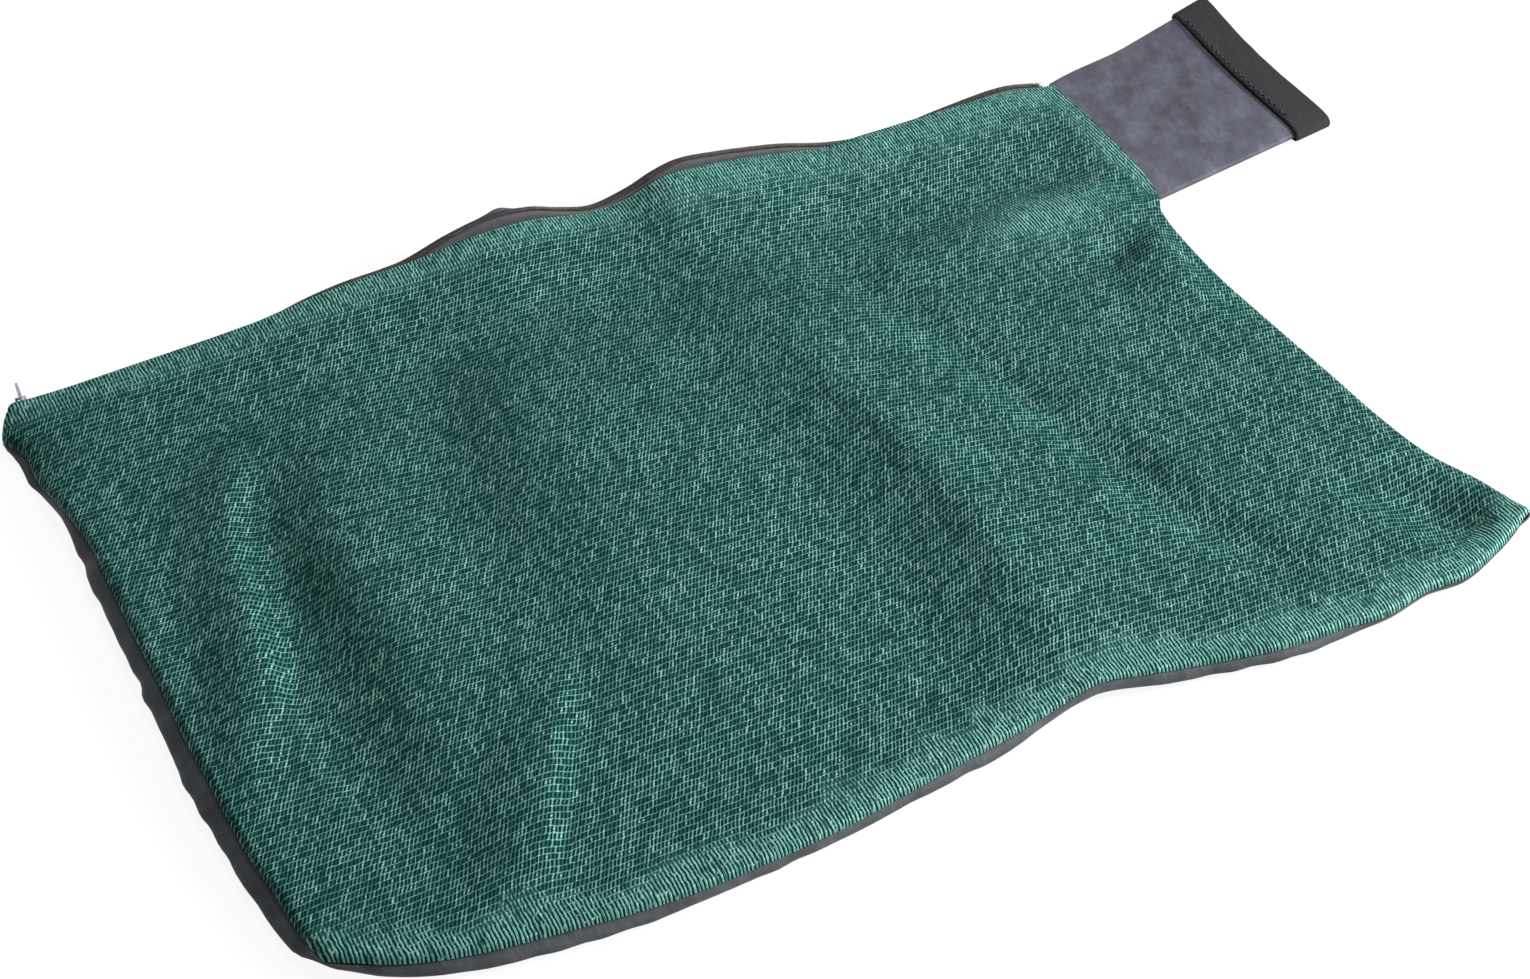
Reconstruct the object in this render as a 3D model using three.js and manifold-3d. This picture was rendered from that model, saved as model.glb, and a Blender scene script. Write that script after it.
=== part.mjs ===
// Leaf vacuum collection bag, lying flat: a green mesh panel sewn over a nylon panel, a zip along
// the far edge, and a nylon neck with an elastic cuff at the far right corner.
// Millimetres. X runs along the bag towards the neck, Y from the near seam to the zip, Z up.
import * as THREE from "three";
import Module from "manifold-3d";
import { mergeVertices } from "three/addons/utils/BufferGeometryUtils.js";

// Driving dimensions: cloth
const CLOTH = 0.8; // thickness of the panels and of the neck sleeve
const CLEARANCE = 0.3; // between pieces that lie on each other
const BAG_LENGTH = 674; // near seam, corner to corner
const BAG_WIDTH = 456; // near left corner to the zip's chain
const ZIP_SIDE_START = -10; // far left corner, measured from the near left one
const ZIP_SIDE_LENGTH = 679; // far edge, corner to corner
const NECK_SEAM = 124; // neck along the shoulder side, up to the mesh hem at the zip
const NECK_PAST_HEM = 4; // how far the neck reaches on past that hem, to the zip's end
const SEAM_TURN = 9; // cloth turned in at a seam
const HEM_TURN = 8; // cloth turned in at the zip and at the neck
const PUFF = 12.5; // height of the mesh panel over the middle of the bag
const SEAM_RISE = 3.5; // height of the roll beside a seam
const SEAM_ROUND = 3; // how quickly that roll rises, in from the seam
const SEAM_FADE = 15; // how quickly the mesh panel takes its own height, in from the seam
const EDGE_CALM = 22; // strip beside each edge where the folds die away
const HEM_ROLL = 3.5; // height of the roll beside the zip's hem
const HEM_FADE = 75; // reach of the zip hem's height into the mesh panel
const NECK_FADE = 45; // reach of the neck seam's height into the mesh panel
const NECK_BLEND = 12; // strip beside the neck where the shoulder's seam turns into a hem
const WALL_REACH = { near: 14, left: 16, right: 10, far: 10 }; // strips where the nylon panel rises
const WALL_CURVE = 2.2; // how late those strips turn upwards
const WALL_BULGE = 2.75; // how far the right and far ones bulge outwards
const CORNER_TRIM = 15; // seam allowance cut away at each corner

// Driving dimensions: neck
const SLEEVE_LENGTH = 131.5; // seam to the sleeve's end inside the cuff
const CUFF_LENGTH = 30;
const CUFF_LAP = 11; // how far the sleeve reaches into the cuff
const CUFF_SPAN = 153; // flat width of the sleeve at the cuff
const CUFF_THICKNESS = 1.9;
const NECK_SWING = 13.8; // degrees that the neck points away from X
const MOUTH_ANGLE = 85.5; // degrees from X to the line of the mouth
const SIDE_FOLD = 3; // height of the sleeve at its two side folds
const MOUTH_HEIGHT = 7.8; // height of the sleeve in the middle of the mouth
const MOUTH_SAG = 8; // how far the elastic draws back the middle of the mouth
const SLEEVE_RIPPLE = { height: 1.1, length: 11 }; // soft waves along the top of the sleeve
const LAP_TRIM = 0.1; // share of the neck's width left free at each end of its lap

// Driving dimensions: zip
const TAPE = 0.7; // thickness of the zip tapes
const TAPE_LAP = 7; // tape sewn under the panel's hem
const TAPE_FLAT = 4.6; // flat half width of the zip across its chain
const CHAIN_GAP = 0.65; // half of the free strip between the two coils
const COIL = 1.7; // thickness of one row of coil teeth
const CHAIN_TILT = -12; // degrees that the chain leans, towards the far side where negative
const CHAIN_START = -8.5; // left end of the chain, measured like the far left corner
const CHAIN_END = 664;
const EDGE_TO_CHAIN = 6.3; // mesh hem to the middle of the chain
const CHAIN_TO_WALL = 5.6; // middle of the chain to the nylon panel's far edge
const CHAIN_OVER_WALL = 4.2; // how far the nylon panel's edge lies below the chain
const STOP_LENGTH = 1.6;
const END_STOP_LENGTH = 3;

// Driving dimensions: slider and pull
const SLIDER_LENGTH = 8;
const SLIDER_HALF_WIDTH = 3.9;
const SLIDER_PLATE = 0.9;
const SLIDER_FLANGE = 0.9;
const SLIDER_PLACE = -1; // middle of the slider with the zip closed
const BLADE = 0.7; // divider between the two rows of teeth
const CROWN_INSIDE = 4; // free length under the slider's crown
const CROWN_LEG = 1.1;
const CROWN_WIDTH = 1.6;
const CROWN_RISE = 2.5; // free height under the crown
const PULL_LENGTH = 11; // pivot to the tip of the pull
const PULL_WIDTH = 5.4;
const PULL_THICKNESS = 1.1;
const PULL_RIM = 1.3;

// Driving dimensions: thread
const THREAD = 0.7;
const THREAD_INSET = 5.5; // seam line to its row of stitches

// Lie of the bag, as [share of the length or width, millimetres]
const NEAR_LINE = [
  [0, 6], [0.047, -12.5], [0.092, -22.5], [0.151, -29], [0.226, -35], [0.3, -34.5], [0.374, -30.5],
  [0.448, -22.5], [0.522, -15], [0.579, -8], [0.604, -7.5], [0.641, -11.5], [0.693, -18],
  [0.745, -24.5], [0.797, -26], [0.834, -28], [0.878, -22.5], [0.915, -23], [0.96, -12.5], [1, 0],
];
const LEFT_LINE = [
  [0, 3], [0.04, -2], [0.125, -5.2], [0.18, -7.5], [0.3, -7.9], [0.375, -8.1], [0.45, -7],
  [0.537, -6.6], [0.645, -5.5], [0.71, -4.8], [0.775, -7.5], [0.84, -11.5], [0.885, -12.3],
  [0.915, -11.5], [0.932, -14], [0.95, -19], [0.974, -15], [0.984, -10],
];
// How far the nylon panel bulges out beyond those two lines
const NEAR_BULGE = [
  [0, 6.5], [0.05, 9], [0.12, 11.5], [0.16, 11], [0.2, 8.5], [0.3, 6.5], [0.4, 6.5], [0.5, 8],
  [0.55, 5.5], [0.6, 4], [0.65, 7.5], [0.78, 7.5], [0.83, 3.5], [0.9, 3], [1, 2.5],
];
const LEFT_BULGE = [
  [0, 8], [0.05, 12], [0.13, 14.5], [0.3, 15], [0.44, 14.5], [0.52, 13.5], [0.67, 13],
  [0.72, 11.5], [0.78, 7.5], [0.84, 7.5], [0.885, 10], [0.925, 11], [0.955, 4], [0.984, 2.75],
];
const RIGHT_LINE = [
  [0, 0], [0.074, -3.6], [0.144, -13.3], [0.229, -16.9], [0.314, -17.4], [0.441, -18.8],
  [0.547, -19.3], [0.653, -15.7], [0.705, -11], [0.737, -4.3], [0.78, -2.6], [0.864, -1.7], [1, 0],
];
const NEAR_SEAM_HEIGHT = [
  [0, 7], [0.1, 8], [0.5, 8.5], [0.56, 10], [0.6, 12.5], [0.64, 10], [0.7, 8], [0.9, 7],
  [0.97, 8.3], [1, 11.5],
];
const LEFT_SEAM_HEIGHT = [
  [0, 7], [0.1, 9], [0.3, 11], [0.7, 11], [0.8, 9], [0.87, 5], [0.95, 5], [0.97, 8], [0.984, 14.5],
];
const RIGHT_SEAM_HEIGHT = [
  [0, 11.5], [0.05, 7.5], [0.12, 5.5], [0.5, 5], [0.66, 5.5], [0.7, 6], [0.725, 7.5], [0.77, 11],
  [0.86, 14], [0.95, 14], [1, 14],
];
const ZIP_HEM_HEIGHT = [
  [-0.015, 16], [0.01, 15.5], [0.077, 17], [0.174, 19], [0.274, 23], [0.352, 23.5],
  [0.4, 26.5], [0.44, 26.5], [0.467, 25], [0.507, 20], [0.546, 20.5], [0.589, 29],
  [0.628, 27.5], [0.671, 24], [0.709, 20.5], [0.749, 17.5], [0.791, 19.5], [0.878, 20],
  [0.92, 19], [0.993, 18],
];
// The chain starts with a straight run, then waves, as [share, millimetres across, height]
const STRAIGHT_RUN = [-0.0163, 0.092, 0.187, 0.202];
const RUN_SLOPE = { across: 0.034, up: 0.0235, height: 6.8 };
const CHAIN_WAVES = [
  [0.25, 8.7, 15.5], [0.285, 11, 17.5], [0.322, 12.9, 17.6], [0.346, 14, 18.8],
  [0.387, 15.5, 26.5], [0.425, 16.7, 30.5], [0.463, 17.5, 28], [0.49, 17.4, 22], [0.522, 17, 17],
  [0.559, 17, 21.8], [0.585, 17.7, 28], [0.61, 18.4, 31], [0.648, 19.5, 27.5],
  [0.68, 19.5, 24], [0.71, 18.6, 20.6],
  [0.757, 15.9, 13.6], [0.8, 14.5, 10.4], [0.828, 14.5, 10.8], [0.886, 15.5, 14.6],
  [0.944, 17.5, 15.5], [0.985, 17, 10.7],
];
// Folds of the mesh panel that run from near to far: crest points as [share of the width, share
// of the length, height], and how far each fold reaches to its left and right in millimetres
const FOLDS = [
  { left: 22, right: 28, crest: [[0.2, 0.01, 0], [0.27, 0.015, 3], [0.34, 0.032, 5],
    [0.42, 0.05, 4.5], [0.57, 0.071, 2.5], [0.72, 0.09, 0]] },
  { left: 16, right: 40, crest: [[0.1, 0.08, 0], [0.2, 0.089, -3], [0.42, 0.095, -5],
    [0.53, 0.102, -5], [0.64, 0.116, -4], [0.8, 0.15, 0]] },
  { left: 46, right: 75, crest: [[0.08, 0.15, 0], [0.19, 0.163, 4], [0.42, 0.172, 6],
    [0.64, 0.178, 5], [0.78, 0.195, 2], [0.9, 0.2, 0]] },
  { left: 62, right: 190, crest: [[0.05, 0.31, 0], [0.16, 0.322, 2], [0.31, 0.332, 5],
    [0.42, 0.352, 7.5], [0.53, 0.364, 8.5], [0.64, 0.374, 8], [0.8, 0.41, 6], [1, 0.45, 4]] },
  { left: 24, right: 95, crest: [[-0.06, 0.593, 3], [0.11, 0.601, 5], [0.2, 0.61, 7],
    [0.37, 0.614, 9], [0.48, 0.605, 8], [0.61, 0.593, 6], [0.75, 0.597, 6], [0.9, 0.615, 6],
    [1, 0.63, 5]] },
  { left: 24, right: 22, crest: [[0, 0.81, 0], [0.07, 0.8, -2.5], [0.15, 0.789, -3.5],
    [0.28, 0.767, -3], [0.4, 0.745, -2], [0.52, 0.73, 0]] },
  { left: 24, right: 18, crest: [[-0.03, 0.15, 0], [0.02, 0.16, 2.5], [0.06, 0.178, 4.5],
    [0.15, 0.214, 5.5], [0.21, 0.243, 4], [0.3, 0.262, 0]] },
  { left: 18, right: 11, crest: [[0.06, 0.045, 0], [0.13, 0.053, 3], [0.25, 0.08, 3.5],
    [0.34, 0.09, 0]] },
  { left: 24, right: 13, crest: [[0.52, 0.936, 0], [0.58, 0.943, 3.5], [0.66, 0.955, 5.5],
    [0.705, 0.965, 0]] },
];
// Folds beside the neck that run along the bag: [share of the length, share of the width, height]
const CROSS_FOLDS = [
  { left: 26, right: 22, crest: [[0.68, 0.66, 0], [0.8, 0.672, 2.5], [0.9, 0.685, 4.5],
    [0.96, 0.695, 2]] },
  { left: 20, right: 26, crest: [[0.7, 0.748, 0], [0.83, 0.748, -2.5], [0.93, 0.745, -3.5],
    [0.99, 0.742, -1]] },
];

const { lerp, smoothstep, degToRad } = THREE.MathUtils;

// Smooth curve through [place, value] pairs, level beyond its ends
function smooth(points) {
  const last = points.length - 1;
  const slope = points.map((point, i) => {
    const before = points[Math.max(i - 1, 0)];
    const after = points[Math.min(i + 1, last)];
    return (after[1] - before[1]) / (after[0] - before[0]);
  });
  return (place) => {
    if (place <= points[0][0]) return points[0][1];
    if (place >= points[last][0]) return points[last][1];
    const i = points.findIndex((point) => point[0] > place) - 1;
    const width = points[i + 1][0] - points[i][0];
    const t = (place - points[i][0]) / width;
    const from = points[i][1] * (1 + 2 * t) * (1 - t) ** 2 + slope[i] * width * t * (1 - t) ** 2;
    const to = points[i + 1][1] * (3 - 2 * t) * t ** 2 - slope[i + 1] * width * (1 - t) * t ** 2;
    return from + to;
  };
}

// Zip chain: middle line, and the two directions across and out of its face
const run = STRAIGHT_RUN.map((share) => {
  const along = (share - STRAIGHT_RUN[0]) * BAG_LENGTH;
  return [share, RUN_SLOPE.across * along, RUN_SLOPE.height + RUN_SLOPE.up * along];
});
const chainPoints = [...run, ...CHAIN_WAVES];
const chainAcross = smooth(chainPoints.map(([share, across]) => [share, across]));
const chainHeight = smooth(chainPoints.map(([share, , height]) => [share, height]));
const chainY = (x) => BAG_WIDTH + chainAcross(x / BAG_LENGTH);
const chainZ = (x) => chainHeight(x / BAG_LENGTH);
const TILT = degToRad(CHAIN_TILT);
const ACROSS = new THREE.Vector3(0, Math.cos(TILT), Math.sin(TILT));
const OUT = new THREE.Vector3(0, -Math.sin(TILT), Math.cos(TILT));

// Point beside the chain: across it towards the far side, and out of its face
function chainPoint(x, across, out) {
  const middle = new THREE.Vector3(x, chainY(x), chainZ(x));
  return middle.addScaledVector(ACROSS, across).addScaledVector(OUT, out);
}

// Outline of the panels
const nearLine = smooth(NEAR_LINE);
const leftLine = smooth(LEFT_LINE);
const rightLine = smooth(RIGHT_LINE);
const nearY = (x) => nearLine(x / BAG_LENGTH);
const leftX = (y) => leftLine(y / BAG_WIDTH);
const hemY = (x) => chainY(x) - EDGE_TO_CHAIN;
const wallY = (x) => chainY(x) + CHAIN_TO_WALL;
const RIGHT_END = ZIP_SIDE_START + ZIP_SIDE_LENGTH;
const RIGHT_WIDTH = hemY(RIGHT_END);
const rightX = (y) => lerp(BAG_LENGTH, RIGHT_END, y / RIGHT_WIDTH) + rightLine(y / RIGHT_WIDTH);
const NECK_FROM = RIGHT_WIDTH - NECK_SEAM; // where the neck starts along the right edge

// Heights of the seams and hems
const nearSeam = smooth(NEAR_SEAM_HEIGHT);
const leftSeam = smooth(LEFT_SEAM_HEIGHT);
const rightSeam = smooth(RIGHT_SEAM_HEIGHT);
const zipHem = smooth(ZIP_HEM_HEIGHT);
const SEAM_HALF = (CLOTH + CLEARANCE) / 2; // each panel's distance from the seam line
const FLOOR = CLOTH / 2; // middle of the nylon panel where it lies on the ground
const LAYER = CLOTH + CLEARANCE; // from one layer of cloth to the next
const neckShare = (y) => smoothstep(y, NECK_FROM - NECK_BLEND, NECK_FROM + NECK_BLEND / 3);

// Height that the folds add at a place
function foldHeight(x, y) {
  const add = (folds, share, across, length) =>
    folds.reduce((sum, fold) => {
      const offset = across - fold.place(share) * length;
      const reach = Math.abs(offset) / (offset < 0 ? fold.left : fold.right);
      return sum + (reach < 1 ? fold.height(share) * (1 - reach * reach) ** 2 : 0);
    }, 0);
  return add(folds, y / BAG_WIDTH, x, BAG_LENGTH) + add(crossFolds, x / BAG_LENGTH, y, BAG_WIDTH);
}
const asFold = ({ left, right, crest }) => ({
  left,
  right,
  place: smooth(crest.map(([share, place]) => [share, place])),
  height: smooth(crest.map(([share, , height]) => [share, height])),
});
const folds = FOLDS.map(asFold);
const crossFolds = CROSS_FOLDS.map(asFold);

// Distances from a place in the bag to the four edges
function edgeDistances(x, y, farY) {
  return {
    near: Math.max(y - nearY(x), 0),
    left: Math.max(x - leftX(y), 0),
    right: Math.max(rightX(y) - x, 0),
    far: Math.max(farY(x) - y, 0),
  };
}

// Middle surface of the mesh panel
function meshHeight(x, y) {
  const gap = edgeDistances(x, y, hemY);
  const calm = [gap.near, gap.left, gap.right].reduce(
    (share, distance) => share * smoothstep(distance, 0, EDGE_CALM), 1);
  const hem = zipHem(x / BAG_LENGTH) + HEM_ROLL * smoothstep(gap.far, 0, EDGE_CALM);
  const atHem = 1 - smoothstep(gap.far, 0, HEM_FADE);
  const atNeck = neckShare(y) * (1 - smoothstep(gap.right, 0, NECK_FADE));
  const free = lerp(PUFF + foldHeight(x, y) * calm, hem, atHem);
  return fromSeam(lerp(free, rightSeam(y / RIGHT_WIDTH), atNeck), gap, x, y);
}

// Height beside the three seams: each seam counts more the nearer it is, and none at the neck
function fromSeam(z, gap, x, y) {
  const seams = [
    [gap.near, nearSeam(x / BAG_LENGTH)],
    [gap.left, leftSeam(y / BAG_WIDTH)],
    [gap.right + BAG_LENGTH * neckShare(y), rightSeam(y / RIGHT_WIDTH)],
  ];
  const least = 0.01; // keeps the nearness finite on the seam itself
  const nearness = seams.map(([distance]) => (distance + least) ** -2);
  const total = nearness.reduce((sum, value) => sum + value, 0);
  const height = seams.reduce((sum, [, seam], i) => sum + (seam * nearness[i]) / total, 0);
  const base = SEAM_HALF + height;
  const distance = Math.min(...seams.map(([gapHere]) => gapHere));
  const roll = SEAM_RISE * (1 - Math.exp(-distance / SEAM_ROUND));
  return base + roll + (z - base - SEAM_RISE) * (1 - Math.exp(-distance / SEAM_FADE));
}

// Middle surface of the nylon panel: flat on the ground, rising in a bulging wall at its edges
const wallShare = (side, distance) => Math.max(0, 1 - distance / WALL_REACH[side]);
const wallRise = (side, distance) => wallShare(side, distance) ** WALL_CURVE;
const wallBulge = (side, distance) =>
  4 * wallShare(side, distance) * (1 - wallShare(side, distance));
const nearBulge = smooth(NEAR_BULGE);
const leftBulge = smooth(LEFT_BULGE);
const fullBulge = 1.2; // a wall higher than this bulges fully
const leastBulge = 0.2;
const wallTop = {
  near: (x) => nearSeam(x / BAG_LENGTH) - SEAM_HALF,
  left: (y) => lerp(leftSeam(Math.min(y / BAG_WIDTH, 0.95)) - SEAM_HALF, chainZ(ZIP_SIDE_START)
    - CHAIN_OVER_WALL, smoothstep(y, BAG_WIDTH - 22, BAG_WIDTH - 6)),
  right: (y) => lerp(rightSeam(y / RIGHT_WIDTH) - SEAM_HALF, FLOOR, neckShare(y)),
  far: (x) => chainZ(x) - CHAIN_OVER_WALL,
};
function nylonPoint(x, y) {
  const gap = edgeDistances(x, y, wallY);
  const rise = {
    near: (wallTop.near(x) - FLOOR) * wallRise("near", gap.near),
    left: (wallTop.left(y) - FLOOR) * wallRise("left", gap.left),
    right: (wallTop.right(y) - FLOOR) * wallRise("right", gap.right),
    far: (wallTop.far(x) - FLOOR) * wallRise("far", gap.far),
  };
  const offCorner = (distance) => smoothstep(distance, 0, WALL_REACH.left);
  const depth = {
    near: nearBulge(x / BAG_LENGTH) * offCorner(gap.left) * offCorner(gap.right),
    left: leftBulge(y / BAG_WIDTH) * offCorner(gap.near) * offCorner(gap.far),
    right: WALL_BULGE,
    far: WALL_BULGE,
  };
  const bulge = (side) => depth[side] * wallBulge(side, gap[side])
    * Math.min(1, rise[side] / fullBulge + leastBulge);
  return new THREE.Vector3(
    x - bulge("left") + (1 - neckShare(y)) * bulge("right"),
    y - bulge("near") + bulge("far"),
    FLOOR + Math.max(rise.near, rise.left, rise.right, rise.far),
  );
}

// Place in the outline from two shares: u from left to right, v from near to far
function place(u, v, farY) {
  let x = u * BAG_LENGTH;
  let y = v * BAG_WIDTH;
  for (let i = 0; i < 12; i++) {
    x = lerp(leftX(y), rightX(Math.min(y, RIGHT_WIDTH)), u);
    y = lerp(nearY(x), farY(x), v);
  }
  return [x, y];
}

// A sheet of cloth: points of its middle surface and the four-sided cells between them
class Sheet {
  constructor(thickness) {
    this.thickness = thickness;
    this.points = [];
    this.cells = [];
  }
  row(points) {
    return points.map((point) => this.points.push(point) - 1);
  }
  // Cells between two rows, the second on the left of the first
  join(low, high) {
    for (let i = 0; i + 1 < low.length; i++) {
      this.cells.push([low[i], low[i + 1], high[i + 1], high[i]]);
    }
  }
  // Rows from the near side to the far side, joined into one field of cells
  field(rows) {
    const grid = rows.map((points) => this.row(points));
    for (let j = 0; j + 1 < grid.length; j++) this.join(grid[j], grid[j + 1]);
    return grid;
  }
  // Closed solid: both faces half a thickness from the middle surface, and a rim round each edge
  geometry() {
    const normals = this.points.map(() => new THREE.Vector3());
    const edges = new Map();
    for (const cell of this.cells) {
      const [a, b, c, d] = cell.map((i) => this.points[i]);
      const normal = c.clone().sub(a).cross(d.clone().sub(b)).normalize();
      cell.forEach((i, k) => {
        normals[i].add(normal);
        edges.set(i + ":" + cell[(k + 1) % 4], [i, cell[(k + 1) % 4]]);
      });
    }
    const half = this.thickness / 2;
    normals.forEach((normal) => normal.setLength(half));
    const side = (sign) => this.points.map((p, i) => p.clone().addScaledVector(normals[i], sign));
    const vertices = [...side(1), ...side(-1)].flatMap((p) => [p.x, p.y, p.z]);
    const under = this.points.length;
    const index = [];
    for (const [a, b, c, d] of this.cells) {
      index.push(a, b, c, a, c, d);
      index.push(under + a, under + c, under + b, under + a, under + d, under + c);
    }
    for (const [a, b] of edges.values()) {
      if (edges.has(b + ":" + a)) continue;
      index.push(under + a, under + b, b, under + a, b, a);
    }
    const geometry = new THREE.BufferGeometry();
    geometry.setAttribute("position", new THREE.Float32BufferAttribute(vertices, 3));
    geometry.setIndex(index);
    return geometry;
  }
}

// Even steps between two values
const straight = (from, to, steps) =>
  Array.from({ length: steps + 1 }, (_, i) => lerp(from, to, i / steps));

// Shares from 0 to 1 in even steps, with closer steps beside both edges
function shares(steps, length, close) {
  const inner = close.map((distance) => distance / length);
  const reach = inner[inner.length - 1];
  const middle = straight(reach, 1 - reach, steps);
  const first = inner.slice(0, -1);
  return [0, ...first, ...middle, ...first.map((share) => 1 - share).reverse(), 1];
}
const CLOSE = [2, 4, 8, 14]; // closer steps beside the edges
const COLUMNS = shares(34, BAG_LENGTH, CLOSE); // both panels, so their edges run together
const MESH_ROWS = shares(20, BAG_WIDTH, CLOSE);
const HEM_TO_WALL = hemY(ZIP_SIDE_START) / wallY(ZIP_SIDE_START);
const NYLON_ROWS = [
  ...MESH_ROWS.slice(0, -CLOSE.length).map((v) => v * HEM_TO_WALL),
  ...[...CLOSE.map((distance) => 1 - distance / BAG_WIDTH)].reverse(),
  1,
];
const TRIM_U = CORNER_TRIM / BAG_LENGTH;
const TRIM_V = CORNER_TRIM / BAG_WIDTH;
const NECK_V = NECK_FROM / RIGHT_WIDTH;
const between = (list, low, high) => list.filter((share) => share >= low && share <= high);
const seamColumns = between(COLUMNS, TRIM_U, 1 - TRIM_U);

// Materials, with the colours of the bag
const finish = (color, roughness, metalness = 0) => () =>
  new THREE.MeshStandardMaterial({ color, roughness, metalness });
const MESH_GREEN = finish(0x3c625f, 0.62);
const NYLON = finish(0x474f58, 0.7);
const SLEEVE_NYLON = finish(0x5a5c66, 0.68);
const ELASTIC = finish(0x403f42, 0.9);
const ZIP_TAPE = finish(0x45474d, 0.85);
const ZIP_TEETH = finish(0x363436, 0.55);
const METAL = finish(0xb6b2bc, 0.35, 0.9);
const THREAD_BLACK = finish(0x2c2e31, 0.8);

const bag = new THREE.Group();
function addPiece(name, geometry, material) {
  const mesh = new THREE.Mesh(geometry, material());
  mesh.name = name;
  bag.add(mesh);
  return mesh;
}

// Mesh panel, with turned edges at its seams and folded hems at the zip and the neck
function meshPanel() {
  const sheet = new Sheet(CLOTH);
  const at = (x, y) => new THREE.Vector3(x, y, meshHeight(x, y));
  const rowAt = (v) => COLUMNS.map((u) => at(...place(u, v, hemY)));
  const grid = sheet.field(MESH_ROWS.map(rowAt));
  const edges = panelEdges(grid, MESH_ROWS);
  const turned = (row, dx, dy) => sheet.row(row.map((k) => moved(sheet.points[k], dx, dy, 0)));
  const left = edges.left(1 - TRIM_V);
  const shoulder = edges.right(TRIM_V, NECK_V - TRIM_V);
  sheet.join(turned(edges.near, 0, SEAM_TURN), edges.near);
  sheet.join(left, turned(left, SEAM_TURN, 0));
  sheet.join(turned(shoulder, -SEAM_TURN, 0), shoulder);
  const neck = edges.right(NECK_V + TRIM_V, 1 - TRIM_V);
  hem(sheet, edges.far, (x, y, d) => [x, y - d], new THREE.Vector3(0, 1, 0), false);
  hem(sheet, neck, (x, y, d) => [x - d, y], new THREE.Vector3(1, 0, 0), true);
  return sheet.geometry();
}
const moved = (point, dx, dy, dz) => point.clone().add(new THREE.Vector3(dx, dy, dz));

// Vertex rows along a panel's edges, without its trimmed corners
function panelEdges(grid, rows) {
  const last = COLUMNS.length - 1;
  const column = (side, low, high) => between(rows, low, high).map((v) => grid[rows.indexOf(v)][side]);
  const columns = seamColumns.map((u) => COLUMNS.indexOf(u));
  return {
    near: columns.map((i) => grid[0][i]),
    far: columns.map((i) => grid[rows.length - 1][i]),
    left: (high) => column(0, TRIM_V, high),
    right: (low, high) => column(last, low, high),
  };
}

const FOLD_OUT = 0.5; // how far a folded edge stands out in the middle of its fold

// Edge folded right under itself: a fold line, then two rows below the panel
function hem(sheet, edge, inward, outward, flip) {
  const below = (k, distance, drop) => {
    const { x, y, z } = sheet.points[k];
    const [hemX, hemYPlace] = inward(x, y, distance);
    return new THREE.Vector3(hemX, hemYPlace, (distance ? meshHeight(hemX, hemYPlace) : z) - drop);
  };
  const foldRow = sheet.row(edge.map((k) => below(k, 0, LAYER / 2).addScaledVector(outward, FOLD_OUT)));
  const underRow = sheet.row(edge.map((k) => below(k, 0, LAYER)));
  const endRow = sheet.row(edge.map((k) => below(k, HEM_TURN, LAYER)));
  const chain = [edge, foldRow, underRow, endRow];
  for (let i = 0; i < 3; i++) {
    if (flip) sheet.join(chain[i + 1], chain[i]);
    else sheet.join(chain[i], chain[i + 1]);
  }
}

// Nylon panel, with its edges turned in at the seams and at the zip, and hemmed over at the neck
function nylonPanel() {
  const sheet = new Sheet(CLOTH);
  const rowAt = (v) => COLUMNS.map((u) => nylonPoint(...place(u, v, wallY)));
  const grid = sheet.field(NYLON_ROWS.map(rowAt));
  const edges = panelEdges(grid, NYLON_ROWS);
  const turned = (row, dx, dy, dz = 0) =>
    sheet.row(row.map((k) => moved(sheet.points[k], dx, dy, dz)));
  const left = edges.left(1 - 2.4 * TRIM_V);
  const shoulder = edges.right(TRIM_V, NECK_V - 2 * TRIM_V);
  const neck = edges.right(NECK_V + TRIM_V, 1 - 2 * TRIM_V);
  sheet.join(turned(edges.near, 0, SEAM_TURN), edges.near);
  sheet.join(left, turned(left, SEAM_TURN, 0));
  sheet.join(turned(shoulder, -SEAM_TURN, 0), shoulder);
  sheet.join(edges.far, turned(edges.far, 0, -HEM_TURN));
  const fold = turned(neck, FOLD_OUT, 0, LAYER / 2);
  const over = [neck, fold, turned(neck, 0, 0, LAYER), turned(neck, -HEM_TURN, 0, LAYER)];
  for (let i = 0; i < 3; i++) sheet.join(over[i + 1], over[i]);
  return sheet.geometry();
}

// Neck: middle surface of the sleeve, along from the seam and across from the shoulder side
const SWING = degToRad(NECK_SWING);
const MOUTH = degToRad(MOUTH_ANGLE);
const NECK_REACH = SLEEVE_LENGTH - CUFF_LAP + CUFF_LENGTH; // seam to the mouth
const neckY = (across) => lerp(NECK_FROM, RIGHT_WIDTH + NECK_PAST_HEM, across);
const seamMiddle = new THREE.Vector2(rightX(neckY(0.5)), neckY(0.5));
const neckWay = new THREE.Vector2(Math.cos(SWING), Math.sin(SWING));
const mouthWay = new THREE.Vector2(Math.cos(MOUTH), Math.sin(MOUTH));
const mouthMiddle = seamMiddle.clone().addScaledVector(neckWay, NECK_REACH);
const SLEEVE_LOW = { seam: FLOOR + 2 * LAYER, mouth: CUFF_THICKNESS + CLEARANCE + CLOTH / 2 };
const CUFF_FROM = 0.75 * SLEEVE_LENGTH; // the sleeve's underside is level with the cuff from here
const HEM_STACK = 2 * LAYER; // mesh panel to the sleeve under its hem

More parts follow.
